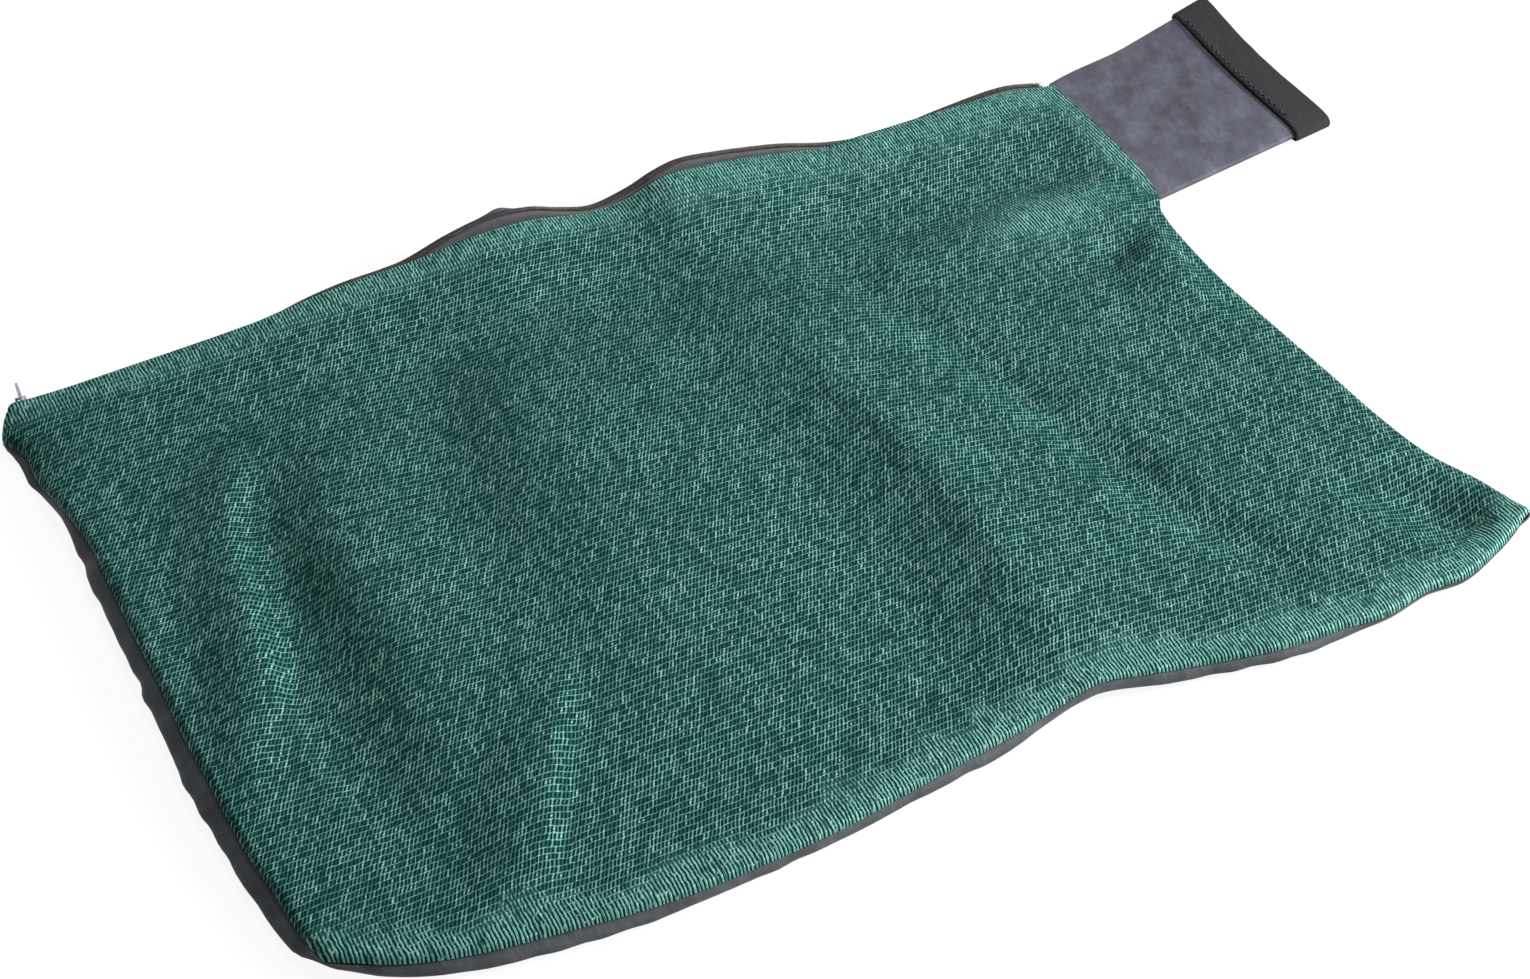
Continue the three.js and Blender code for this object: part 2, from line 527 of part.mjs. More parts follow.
function neckPlace(along, across) {
  const mouth = mouthMiddle.clone()
    .addScaledVector(mouthWay, (across - 0.5) * CUFF_SPAN)
    .addScaledVector(neckWay, -MOUTH_SAG * Math.sin(Math.PI * across));
  const y = neckY(across);
  return new THREE.Vector2(rightX(y), y).lerp(mouth, along / NECK_REACH);
}
const sleeveLow = (along) =>
  lerp(SLEEVE_LOW.seam, SLEEVE_LOW.mouth, Math.min(along / CUFF_FROM, 1));
function sleeveHigh(along, across) {
  const seam = rightSeam(neckY(across) / RIGHT_WIDTH) - HEM_STACK;
  const belly = Math.sin(Math.PI * across) ** 0.6;
  const mouth = sleeveLow(along) + SIDE_FOLD + (MOUTH_HEIGHT - SIDE_FOLD) * belly;
  const free = smoothstep(along, 4, 30) * (1 - smoothstep(along, 60, 105));
  const ripple = Math.sin(along / SLEEVE_RIPPLE.length + 3 * across) * Math.sin(Math.PI * across);
  return lerp(seam, mouth, smoothstep(along, 6, 75)) + SLEEVE_RIPPLE.height * ripple * free;
}

// Closed ring of points round the neck: low from the shoulder side, back over the top
const NECK_STEPS = 12;
const neckSteps = straight(0, 1, NECK_STEPS);
function neckRing(along, spread, low, high) {
  const up = neckSteps.map((across) => {
    const point = neckPlace(along, across);
    return new THREE.Vector3(point.x, point.y, low(along, across));
  });
  const over = [...neckSteps].reverse().map((across) => {
    const point = neckPlace(along, across);
    return new THREE.Vector3(point.x, point.y, high(along, across));
  });
  const swell = (from, to, across) => {
    const outward = new THREE.Vector3(mouthWay.x, mouthWay.y, 0);
    return from.clone().lerp(to, 0.5).addScaledVector(outward, across * spread);
  };
  return [...up, swell(up[NECK_STEPS], over[0], 1), ...over, swell(over[NECK_STEPS], up[0], -1)];
}
const closed = (row) => [...row, row[0]];

const SIDE_SPREAD = 1.6; // how far the sleeve's side folds stand out
const SIDE_PLAY = 0.9; // free space between those folds and the cuff's, beside the clearance

// Sleeve: a flattened tube, with a lap of cloth above and below that is sewn inside the panels
function neckSleeve() {
  const sheet = new Sheet(CLOTH);
  const start = CLOTH / 2 + FOLD_OUT + CLEARANCE;
  const places = [start, 5, 12, 22, 34, 48, 64, 82, 102, SLEEVE_LENGTH];
  const rings = places.map((along) => sheet.row(neckRing(along, SIDE_SPREAD, sleeveLow, sleeveHigh)));
  for (let i = 0; i + 1 < rings.length; i++) sheet.join(closed(rings[i + 1]), closed(rings[i]));
  const lapSteps = between(neckSteps, LAP_TRIM, 1 - LAP_TRIM);
  const lap = lapSteps.map((across) => neckSteps.indexOf(across));
  const under = lap.map((i) => rings[0][i]);
  const lowLap = (distance) => sheet.row(lap.map((i) => {
    const y = neckY(neckSteps[i]);
    return new THREE.Vector3(rightX(y) - distance, y, SLEEVE_LOW.seam);
  }));
  const highLap = (distance) => sheet.row([...lap].reverse().map((i) => {
    const y = neckY(neckSteps[i]);
    const x = rightX(y) - distance;
    return new THREE.Vector3(x, y, meshHeight(x, y) - HEM_STACK);
  }));
  const over = [...lap].reverse().map((i) => rings[0][2 * NECK_STEPS + 1 - i]);
  sheet.join(under, lowLap(HEM_TURN));
  sheet.join(over, highLap(HEM_TURN));
  return sheet.geometry();
}

// Cuff: a thick elastic band round the sleeve's end
const CUFF_OFFSET = CLOTH / 2 + CLEARANCE + CUFF_THICKNESS / 2;
const cuffLow = (along) => sleeveLow(along) - CUFF_OFFSET;
const cuffHigh = (along, across) => sleeveHigh(along, across) + CUFF_OFFSET;
function neckCuff() {
  const sheet = new Sheet(CUFF_THICKNESS);
  const places = straight(NECK_REACH - CUFF_LENGTH, NECK_REACH, 3);
  const spread = SIDE_SPREAD + CUFF_OFFSET + SIDE_PLAY;
  const rings = places.map((along) => sheet.row(neckRing(along, spread, cuffLow, cuffHigh)));
  for (let i = 0; i + 1 < rings.length; i++) sheet.join(closed(rings[i + 1]), closed(rings[i]));
  return sheet.geometry();
}

// Zip tapes: rows of points across the tape, from the sewn lap to the chain
const TAPE_DROP = HEM_STACK - CLOTH / 2 + TAPE / 2; // mesh panel to the tape under its hem
const TAPE_OUT = FOLD_OUT + (CLOTH + TAPE) / 2 + CLEARANCE; // hem to the tape that rises past it
function upperTapeRow(x) {
  const y = hemY(x);
  const z = meshHeight(x, y) - TAPE_DROP;
  const flat = chainPoint(x, -TAPE_FLAT, 0);
  const above = smoothstep(flat.z - z, 0, 5);
  return [
    new THREE.Vector3(x, y - TAPE_LAP, meshHeight(x, y - TAPE_LAP) - TAPE_DROP),
    new THREE.Vector3(x, y + lerp(0, TAPE_OUT, above), z),
    new THREE.Vector3(x, y + lerp(1, TAPE_OUT, above), lerp((z + flat.z) / 2, z + 2 * TAPE, above)),
    flat,
    chainPoint(x, -CHAIN_GAP, 0),
  ];
}
function lowerTapeRow(x) {
  const y = wallY(x);
  const z = chainZ(x) - CHAIN_OVER_WALL + (CLOTH + TAPE) / 2 + CLEARANCE;
  return [
    new THREE.Vector3(x, y - TAPE_LAP, z),
    new THREE.Vector3(x, y - 0.3, z),
    new THREE.Vector3(x, y + 0.3, (z + chainZ(x) + 0.6) / 2),
    chainPoint(x, TAPE_FLAT, 0),
    chainPoint(x, CHAIN_GAP, 0),
  ];
}
// Stations along the zip between two places, in line with the panels' columns
const zipStations = COLUMNS.map((u) => lerp(ZIP_SIDE_START, RIGHT_END, u));
const alongZip = (from, to) => [from, ...zipStations.filter((x) => x > from + 1 && x < to - 1), to];
function zipTape(rowAt) {
  const sheet = new Sheet(TAPE);
  const rows = alongZip(CHAIN_START, CHAIN_END).map((x) => sheet.row(rowAt(x)));
  for (let i = 0; i + 1 < rows.length; i++) sheet.join(rows[i + 1], rows[i]);
  return sheet.geometry();
}

// Solid rod through points of the bag, with a joint at each of them
class Course extends THREE.Curve {
  constructor(points) {
    super();
    this.points = points;
  }
  getPoint(t) {
    const place = t * (this.points.length - 1);
    const i = Math.min(Math.floor(place), this.points.length - 2);
    return this.points[i].clone().lerp(this.points[i + 1], place - i);
  }
  getPointAt(t) {
    return this.getPoint(t);
  }
  getTangentAt(t) {
    return this.getTangent(t);
  }
}
function rod(points, thickness, sides) {
  const corners = straight(0.5, sides - 0.5, sides - 1).map((turn) => {
    const angle = (2 * Math.PI * turn) / sides;
    return new THREE.Vector2(Math.cos(angle), Math.sin(angle)).multiplyScalar(thickness / 2);
  });
  const options = { steps: points.length - 1, bevelEnabled: false, extrudePath: new Course(points) };
  return new THREE.ExtrudeGeometry(new THREE.Shape(corners), options);
}
const COIL_OUT = TAPE / 2 + CLEARANCE + COIL / 2;
const COIL_ACROSS = CHAIN_GAP + COIL / 2;
const TEETH_START = CHAIN_START + STOP_LENGTH + CLEARANCE;
const TEETH_END = CHAIN_END - END_STOP_LENGTH - CLEARANCE;
function zipCoil(side) {
  const stations = alongZip(TEETH_START, TEETH_END);
  return rod(stations.map((x) => chainPoint(x, side * COIL_ACROSS, COIL_OUT)), COIL, 6);
}

// Piece built square to the chain at a place along it: x along, y across, z out of its face
function onChain(mesh, x) {
  const next = chainPoint(x + 1, 0, 0);
  const here = chainPoint(x, 0, 0);
  const along = next.sub(here).normalize();
  const out = OUT.clone().addScaledVector(along, -OUT.dot(along)).normalize();
  const across = out.clone().cross(along);
  mesh.applyMatrix4(new THREE.Matrix4().makeBasis(along, across, out).setPosition(here));
}
function stop(length, width, across) {
  const block = new THREE.BoxGeometry(length, width, COIL);
  return block.translate(0, across, COIL_OUT);
}

// Joined solids, for the slider's body
const manifold = await Module();
manifold.setup();
function asSolid(geometry) {
  geometry.deleteAttribute("normal");
  geometry.deleteAttribute("uv");
  const merged = mergeVertices(geometry, 1e-4);
  return new manifold.Manifold(new manifold.Mesh({
    numProp: 3,
    vertProperties: new Float32Array(merged.attributes.position.array),
    triVerts: new Uint32Array(merged.index.array),
  }));
}
function asGeometry(solid) {
  const { vertProperties, triVerts } = solid.getMesh();
  const geometry = new THREE.BufferGeometry();
  geometry.setAttribute("position", new THREE.Float32BufferAttribute(vertProperties, 3));
  geometry.setIndex(new THREE.Uint32BufferAttribute(triVerts, 1));
  return geometry;
}

// Slider: two plates with flanges round the chain, a divider between them and a crown on top
const PLATE_LOW = -(TAPE / 2 + CLEARANCE);
const PLATE_HIGH = COIL_OUT + COIL / 2 + CLEARANCE;
const SLIDER_TOP = PLATE_HIGH + SLIDER_PLATE;
function sliderBody() {
  const w = SLIDER_HALF_WIDTH;
  const slot = TAPE / 2 + CLEARANCE;
  const half = [
    [w, SLIDER_TOP], [w, slot], [w - SLIDER_FLANGE, slot], [w - SLIDER_FLANGE, PLATE_HIGH],
    [BLADE / 2, PLATE_HIGH], [BLADE / 2, PLATE_LOW], [w, PLATE_LOW], [w, PLATE_LOW - SLIDER_PLATE],
  ];
  const outline = [...half, ...half.map(([y, z]) => [-y, z]).reverse()];
  const section = new THREE.Shape(outline.map(([y, z]) => new THREE.Vector2(y, z)));
  const body = new THREE.ExtrudeGeometry(section, { depth: SLIDER_LENGTH, bevelEnabled: false });
  body.translate(0, 0, -SLIDER_LENGTH / 2);
  body.applyMatrix4(new THREE.Matrix4().makeBasis(
    new THREE.Vector3(0, 1, 0), new THREE.Vector3(0, 0, 1), new THREE.Vector3(1, 0, 0)));
  const reach = CROWN_INSIDE / 2 + CROWN_LEG;
  const crown = new THREE.Shape([
    new THREE.Vector2(-reach, 0), new THREE.Vector2(-CROWN_INSIDE / 2, 0),
    new THREE.Vector2(-CROWN_INSIDE / 2, CROWN_RISE), new THREE.Vector2(CROWN_INSIDE / 2, CROWN_RISE),
    new THREE.Vector2(CROWN_INSIDE / 2, 0), new THREE.Vector2(reach, 0),
    new THREE.Vector2(reach, CROWN_RISE + CROWN_LEG), new THREE.Vector2(-reach, CROWN_RISE + CROWN_LEG),
  ]);
  const arch = new THREE.ExtrudeGeometry(crown, { depth: CROWN_WIDTH, bevelEnabled: false });
  arch.translate(0, 0, -CROWN_WIDTH / 2).rotateX(Math.PI / 2);
  arch.scale(1, 1, (CROWN_RISE + CROWN_LEG + 0.2) / (CROWN_RISE + CROWN_LEG));
  arch.translate(0, 0, SLIDER_TOP - 0.2);
  return asGeometry(asSolid(body).add(asSolid(arch)));
}

// Pull: a flat loop whose end bar passes under the crown, standing up as it does in use
const PIVOT_OUT = SLIDER_TOP + CROWN_RISE / 2;
function pullLoop() {
  const half = PULL_WIDTH / 2;
  const foot = PULL_RIM / 2;
  const outline = new THREE.Shape();
  outline.moveTo(-half, -foot).lineTo(half, -foot).lineTo(half, PULL_LENGTH - half);
  outline.absarc(0, PULL_LENGTH - half, half, 0, Math.PI, false);
  outline.lineTo(-half, -foot);
  const inner = half - PULL_RIM;
  const slot = new THREE.Path();
  slot.moveTo(-inner, foot).lineTo(-inner, PULL_LENGTH - half);
  slot.absarc(0, PULL_LENGTH - half, inner, Math.PI, 0, true);
  slot.lineTo(inner, foot).lineTo(-inner, foot);
  outline.holes.push(slot);
  const options = { depth: PULL_THICKNESS, bevelEnabled: false, curveSegments: 8 };
  const loop = new THREE.ExtrudeGeometry(outline, options);
  loop.translate(0, 0, -PULL_THICKNESS / 2);
  loop.applyMatrix4(new THREE.Matrix4().makeBasis(
    new THREE.Vector3(0, 1, 0), new THREE.Vector3(0, 0, 1), new THREE.Vector3(1, 0, 0)));
  return loop.translate(0, 0, PIVOT_OUT);
}

// Rows of stitches, each a plain thread laid along its seam
const THREAD_LIFT = CLOTH / 2 + CLEARANCE + THREAD / 2;
const meshRow = (low, high) => between(MESH_ROWS, low, high);
const stitched = {
  near_seam_thread: () => seamColumns.map((u) => {
    const [x, y] = place(u, 0, hemY);
    return new THREE.Vector3(x, y + THREAD_INSET, nearSeam(x / BAG_LENGTH) + SEAM_HALF + THREAD_LIFT);
  }),
  left_seam_thread: () => meshRow(TRIM_V, 1 - 2 * TRIM_V).map((v) => {
    const [x, y] = place(0, v, hemY);
    return new THREE.Vector3(x + THREAD_INSET, y, leftSeam(y / BAG_WIDTH) + SEAM_HALF + THREAD_LIFT);
  }),
  shoulder_seam_thread: () => meshRow(TRIM_V, NECK_V - TRIM_V).map((v) => {
    const [x, y] = place(1, v, hemY);
    return new THREE.Vector3(x - THREAD_INSET, y, rightSeam(y / RIGHT_WIDTH) + SEAM_HALF + THREAD_LIFT);
  }),
  zip_thread_upper: () => zipStations.slice(4, -4).map((x) => {
    const y = hemY(x) - THREAD_INSET;
    return new THREE.Vector3(x, y, meshHeight(x, y) - TAPE_DROP - TAPE / 2 - CLEARANCE - THREAD / 2);
  }),
  zip_thread_lower: () => zipStations.slice(4, -4).map((x) =>
    new THREE.Vector3(x, wallY(x) - THREAD_INSET, wallTop.far(x) - THREAD_LIFT)),
  neck_thread_upper: () => straight(0.2, 0.8, 10).map((across) => {
    const y = neckY(across);
    const x = rightX(y) - THREAD_INSET;
    return new THREE.Vector3(x, y, meshHeight(x, y) - HEM_STACK - THREAD_LIFT);
  }),
  neck_thread_lower: () => straight(0.2, 0.8, 10).map((across) => {
    const y = neckY(across);
    return new THREE.Vector3(rightX(y) - THREAD_INSET, y, SLEEVE_LOW.seam + THREAD_LIFT);
  }),
  cuff_thread: () => neckSteps.slice(1, -1).map((across) => {
    const along = NECK_REACH - CUFF_LENGTH + 3;
    const point = neckPlace(along, across);
    const lift = CUFF_THICKNESS / 2 + CLEARANCE + THREAD / 2;
    return new THREE.Vector3(point.x, point.y, cuffHigh(along, across) + lift);
  }),
};

addPiece("upper_panel", meshPanel(), MESH_GREEN);
addPiece("lower_panel", nylonPanel(), NYLON);
addPiece("neck_sleeve", neckSleeve(), SLEEVE_NYLON);
addPiece("neck_cuff", neckCuff(), ELASTIC);
addPiece("zip_tape_upper", zipTape(upperTapeRow), ZIP_TAPE);
addPiece("zip_tape_lower", zipTape((x) => lowerTapeRow(x).reverse()), ZIP_TAPE);
addPiece("zip_coil_upper", zipCoil(-1), ZIP_TEETH);
addPiece("zip_coil_lower", zipCoil(1), ZIP_TEETH);
const stopPlace = CHAIN_START + STOP_LENGTH / 2;
onChain(addPiece("zip_stop_upper", stop(STOP_LENGTH, COIL, -COIL_ACROSS), METAL), stopPlace);
onChain(addPiece("zip_stop_lower", stop(STOP_LENGTH, COIL, COIL_ACROSS), METAL), stopPlace);
const endStop = stop(END_STOP_LENGTH, 2 * (CHAIN_GAP + COIL), 0);
onChain(addPiece("zip_end_stop", endStop, METAL), CHAIN_END - END_STOP_LENGTH / 2);
onChain(addPiece("zip_slider", sliderBody(), METAL), SLIDER_PLACE);
onChain(addPiece("zip_pull", pullLoop(), METAL), SLIDER_PLACE);
for (const [name, points] of Object.entries(stitched)) {
  addPiece(name, rod(points(), THREAD, 4), THREAD_BLACK);
}

// The origin is under the middle of the bag, on the ground
const box = new THREE.Box3().setFromObject(bag);
const middle = box.getCenter(new THREE.Vector3());
bag.position.set(-middle.x, -middle.y, -box.min.z);

export default bag;
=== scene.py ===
"""Leaf vacuum collection bag, lying flat.

A green mesh panel is sewn over a nylon panel, with a zip along the far edge and a nylon neck with
an elastic cuff at the far right corner. Lengths are millimetres as the bag was drawn: X runs along
the bag towards the neck, Y from the near seam to the zip, Z up. Each piece is moved to the frame's
origin and scaled to metres when its mesh is made.
"""
import logging
import math
from dataclasses import dataclass
from enum import Enum
from functools import cached_property
from typing import Callable, Sequence

import bmesh
import bpy
import numpy as np
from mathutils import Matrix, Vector


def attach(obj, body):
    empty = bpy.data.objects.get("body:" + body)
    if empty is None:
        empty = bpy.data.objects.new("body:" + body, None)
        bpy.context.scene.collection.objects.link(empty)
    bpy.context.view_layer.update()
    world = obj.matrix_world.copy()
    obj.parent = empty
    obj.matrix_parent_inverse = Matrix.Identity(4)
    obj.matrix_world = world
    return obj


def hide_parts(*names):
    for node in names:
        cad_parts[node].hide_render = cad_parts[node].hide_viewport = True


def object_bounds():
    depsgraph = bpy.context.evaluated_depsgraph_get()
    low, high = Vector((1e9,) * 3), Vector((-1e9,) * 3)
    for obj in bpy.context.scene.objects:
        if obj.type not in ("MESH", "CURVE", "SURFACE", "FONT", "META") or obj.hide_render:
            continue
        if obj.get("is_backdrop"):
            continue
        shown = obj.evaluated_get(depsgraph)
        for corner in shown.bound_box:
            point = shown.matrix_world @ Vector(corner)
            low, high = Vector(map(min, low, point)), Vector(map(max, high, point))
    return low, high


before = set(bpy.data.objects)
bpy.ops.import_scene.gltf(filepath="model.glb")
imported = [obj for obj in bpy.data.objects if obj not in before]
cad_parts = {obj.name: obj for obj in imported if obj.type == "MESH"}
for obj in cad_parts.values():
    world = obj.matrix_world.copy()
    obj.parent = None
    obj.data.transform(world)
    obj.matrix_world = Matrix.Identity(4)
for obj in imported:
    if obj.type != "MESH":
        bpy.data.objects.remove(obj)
CAD_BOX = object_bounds()

log = logging.getLogger("bag")
MM = 0.001
DRAWN_MIDDLE = np.array([400.866, 243.130, 0.0])  # the frame's origin, as drawn
EDGE_STEPS = (0.6, 1.3, 2.2, 3.3, 4.7, 6.4, 8.4, 10.8, 13.8)  # closer rows beside an edge
HEM_ANGLES = (45, 90, 135, 180)  # degrees at which a folded hem has its rows

# Lie of the bag, as (share of the length or width, millimetres)
NEAR_LINE = (
    (0, 6), (0.047, -12.5), (0.092, -22.5), (0.151, -29), (0.226, -35), (0.3, -34.5),
    (0.374, -30.5), (0.448, -22.5), (0.522, -15), (0.579, -8), (0.604, -7.5), (0.641, -11.5),
    (0.693, -18), (0.745, -24.5), (0.797, -26), (0.834, -28), (0.878, -22.5), (0.915, -23),
    (0.96, -12.5), (1, 0),
)
LEFT_LINE = (
    (0, 3), (0.04, -2), (0.125, -5.2), (0.18, -7.5), (0.3, -7.9), (0.375, -8.1), (0.45, -7),
    (0.537, -6.6), (0.645, -5.5), (0.71, -4.8), (0.775, -7.5), (0.84, -11.5), (0.885, -12.3),
    (0.915, -11.5), (0.932, -14), (0.95, -19), (0.974, -15), (0.984, -10),
)
# How far the nylon panel bulges out beyond those two lines
NEAR_BULGE = (
    (0, 6.5), (0.05, 9), (0.12, 11.5), (0.16, 11), (0.2, 8.5), (0.3, 6.5), (0.4, 6.5), (0.5, 8),
    (0.55, 5.5), (0.6, 4), (0.65, 7.5), (0.78, 7.5), (0.83, 3.5), (0.9, 3), (1, 2.5),
)
LEFT_BULGE = (
    (0, 8), (0.05, 12), (0.13, 14.5), (0.3, 15), (0.44, 14.5), (0.52, 13.5), (0.67, 13),
    (0.72, 11.5), (0.78, 7.5), (0.84, 7.5), (0.885, 10), (0.925, 11), (0.955, 4), (0.984, 2.75),
)
RIGHT_LINE = (
    (0, 0), (0.074, -3.6), (0.144, -13.3), (0.229, -16.9), (0.314, -17.4), (0.441, -18.8),
    (0.547, -19.3), (0.653, -15.7), (0.705, -11), (0.737, -4.3), (0.78, -2.6), (0.864, -1.7),
    (1, 0),
)
NEAR_SEAM_HEIGHT = (
    (0, 7), (0.1, 8), (0.5, 8.5), (0.56, 10), (0.6, 12.5), (0.64, 10), (0.7, 8), (0.9, 7),
    (0.97, 8.3), (1, 11.5),
)
LEFT_SEAM_HEIGHT = (
    (0, 7), (0.1, 9), (0.3, 11), (0.7, 11), (0.8, 9), (0.87, 5), (0.95, 5), (0.97, 8),
    (0.984, 14.5),
)
RIGHT_SEAM_HEIGHT = (
    (0, 11.5), (0.05, 7.5), (0.12, 5.5), (0.5, 5), (0.66, 5.5), (0.7, 6), (0.725, 7.5), (0.77, 11),
    (0.86, 14), (0.95, 14), (1, 14),
)
ZIP_HEM_HEIGHT = (
    (-0.015, 16), (0.01, 15.5), (0.077, 17), (0.174, 19), (0.274, 23), (0.352, 23.5),
    (0.4, 26.5), (0.44, 26.5), (0.467, 25), (0.507, 20), (0.546, 20.5), (0.589, 29),
    (0.628, 27.5), (0.671, 24), (0.709, 20.5), (0.749, 17.5), (0.791, 19.5), (0.878, 20),
    (0.92, 19), (0.993, 18),
)
STRAIGHT_RUN = (-0.0163, 0.092, 0.187, 0.202)  # shares of the length where the chain runs straight
CHAIN_WAVES = (  # then (share, millimetres across, height)
    (0.25, 8.7, 15.5), (0.285, 11, 17.5), (0.322, 12.9, 17.6), (0.346, 14, 18.8),
    (0.387, 15.5, 26.5), (0.425, 16.7, 30.5), (0.463, 17.5, 28), (0.49, 17.4, 22), (0.522, 17, 17),
    (0.559, 17, 21.8), (0.585, 17.7, 28), (0.61, 18.4, 31), (0.648, 19.5, 27.5),
    (0.68, 19.5, 24), (0.71, 18.6, 20.6),
    (0.757, 15.9, 13.6), (0.8, 14.5, 10.4), (0.828, 14.5, 10.8), (0.886, 15.5, 14.6),
    (0.944, 17.5, 15.5), (0.985, 17, 10.7),
)
# Folds from near to far: reach to the left and right, then the crest line as
# (share of the width, share of the length, height)
FOLDS = (
    (38, 22, ((0.2, 0, 0), (0.252, 0.007, 3), (0.329, 0.028, 5.5), (0.406, 0.051, 6.5),
              (0.471, 0.066, 6.2), (0.548, 0.076, 5.2), (0.636, 0.088, 4.2), (0.7, 0.103, 3.4),
              (0.757, 0.12, 2.4), (0.83, 0.135, 0))),
    (14, 46, ((0.1, 0.075, 0), (0.2, 0.078, -2.5), (0.33, 0.078, -4.3), (0.44, 0.085, -4.8),
              (0.55, 0.096, -4.8), (0.66, 0.112, -3.6), (0.8, 0.15, 0))),
    (46, 75, ((0.08, 0.15, 0), (0.19, 0.163, 4), (0.42, 0.172, 5.5), (0.64, 0.178, 5),
              (0.78, 0.195, 2.5), (0.9, 0.2, 0))),
    (74, 190, ((0.05, 0.3, 0), (0.16, 0.31, 2.5), (0.31, 0.32, 5.5), (0.42, 0.337, 8),
               (0.53, 0.35, 8.5), (0.64, 0.36, 8), (0.8, 0.4, 5), (1, 0.45, 3))),
    (64, 98, ((-0.06, 0.593, 4), (0.11, 0.6, 7.5), (0.2, 0.604, 9.5), (0.37, 0.606, 10.5),
              (0.48, 0.6, 10), (0.61, 0.593, 9), (0.75, 0.597, 7), (0.9, 0.615, 5),
              (1, 0.63, 3))),
    (20, 26, ((0.04, 0.598, 0), (0.12, 0.6, 1.5), (0.3, 0.605, 2.5), (0.48, 0.6, 2.5),
              (0.62, 0.59, 1.5), (0.74, 0.59, 0))),
    (28, 26, ((0, 0.8, 0), (0.07, 0.785, -3.5), (0.13, 0.772, -5), (0.26, 0.752, -5.5),
              (0.37, 0.739, -4.5), (0.5, 0.718, -3.5), (0.64, 0.697, -3.5), (0.75, 0.68, -5),
              (0.84, 0.672, 0))),
    (46, 16, ((-0.03, 0.15, 2), (0.02, 0.16, 4.5), (0.06, 0.175, 5.5), (0.15, 0.208, 5.5),
              (0.21, 0.232, 4), (0.3, 0.25, 0))),
    (42, 14, ((0.42, 0.92, 0), (0.55, 0.93, 5), (0.64, 0.947, 8), (0.69, 0.958, 6.5),
              (0.74, 0.97, 0))),
    (36, 34, ((-0.06, 0.955, 0), (0.02, 0.945, -9), (0.09, 0.93, -7), (0.17, 0.9, 0))),
)
# Folds along the bag: reach to near and far, then (share of length, share of width, height)
CROSS_FOLDS = (
    (34, 24, ((0.68, 0.762, 0), (0.8, 0.775, 3), (0.9, 0.782, 4.5), (0.96, 0.785, 3),
              (1, 0.785, 0))),
    (20, 22, ((0.78, 0.63, 0), (0.88, 0.645, -3), (0.93, 0.67, -6), (0.965, 0.7, -4.5),
              (1, 0.72, 0))),
    (72, 50, ((0.02, 0.88, 0), (0.12, 0.88, -2), (0.35, 0.875, -3), (0.5, 0.87, -4.5),
              (0.75, 0.88, -5), (0.92, 0.88, -4), (1, 0.88, 0))),
)

Array = np.ndarray
Line = Callable[[Array], Array]


class Body(Enum):
    """Moving bodies of the bag."""

    BAG = "bag"
    SLIDER = "slider"
    PULL = "pull"


class ZipSide(Enum):
    """The two halves of the zip, with the sign of their way across the chain."""

    UPPER = -1
    LOWER = 1


def smoothstep(value: Array, low: float, high: float) -> Array:
    """Returns 0 below low, 1 above high, and a smooth way between them."""
    share = np.clip((np.asarray(value, dtype=float) - low) / (high - low), 0, 1)
    return share * share * (3 - 2 * share)


def between(value: Array, span: Sequence[float]) -> Array:
    """Returns 1 within a span and 0 outside it, with smooth ways given by its four values."""
    return smoothstep(value, span[0], span[1]) * (1 - smoothstep(value, span[2], span[3]))


def lerp(first: Array, second: Array, share: Array) -> Array:
    """Returns the value at a share of the way from first to second."""
    return first + (second - first) * share


def shares(steps: int, length: float, close: Sequence[float]) -> Array:
    """Shares from 0 to 1 in even steps, with closer ones beside both edges.

    Args:
        steps: even steps between the closer ones.
        length: length in millimetres that the shares divide.
        close: distances of the closer steps from each edge.

    Returns:
        The shares, in rising order.
    """
    inner = np.array(close) / length
    middle = np.linspace(inner[-1], 1 - inner[-1], steps + 1)
    return np.concatenate([[0], inner[:-1], middle, 1 - inner[:-1][::-1], [1]])


class Curve:
    """Smooth curve through pairs of place and value, level beyond its ends."""

    def __init__(self, pairs: Sequence[Sequence[float]]) -> None:
        """Works out the slope at each point.

        Args:
            pairs: place and value of each point, in rising order of the places.
        """
        self.place, self.value = np.array(pairs, dtype=float).T
        count = len(self.place)
        before = np.maximum(np.arange(count) - 1, 0)
        after = np.minimum(np.arange(count) + 1, count - 1)
        rise = self.value[after] - self.value[before]
        self.slope = rise / (self.place[after] - self.place[before])

    def __call__(self, at: Array) -> Array:
        """Finds the curve's value.

        Args:
            at: the places.

        Returns:
            The value at each place.
        """
        at = np.clip(at, self.place[0], self.place[-1])
        i = np.clip(np.searchsorted(self.place, at, side="right") - 1, 0, len(self.place) - 2)
        width = self.place[i + 1] - self.place[i]
        t = (at - self.place[i]) / width
        start = self.value[i] * (1 + 2 * t) + self.slope[i] * width * t
        end = self.value[i + 1] * (3 - 2 * t) - self.slope[i + 1] * width * (1 - t)
        return start * (1 - t) ** 2 + end * t**2


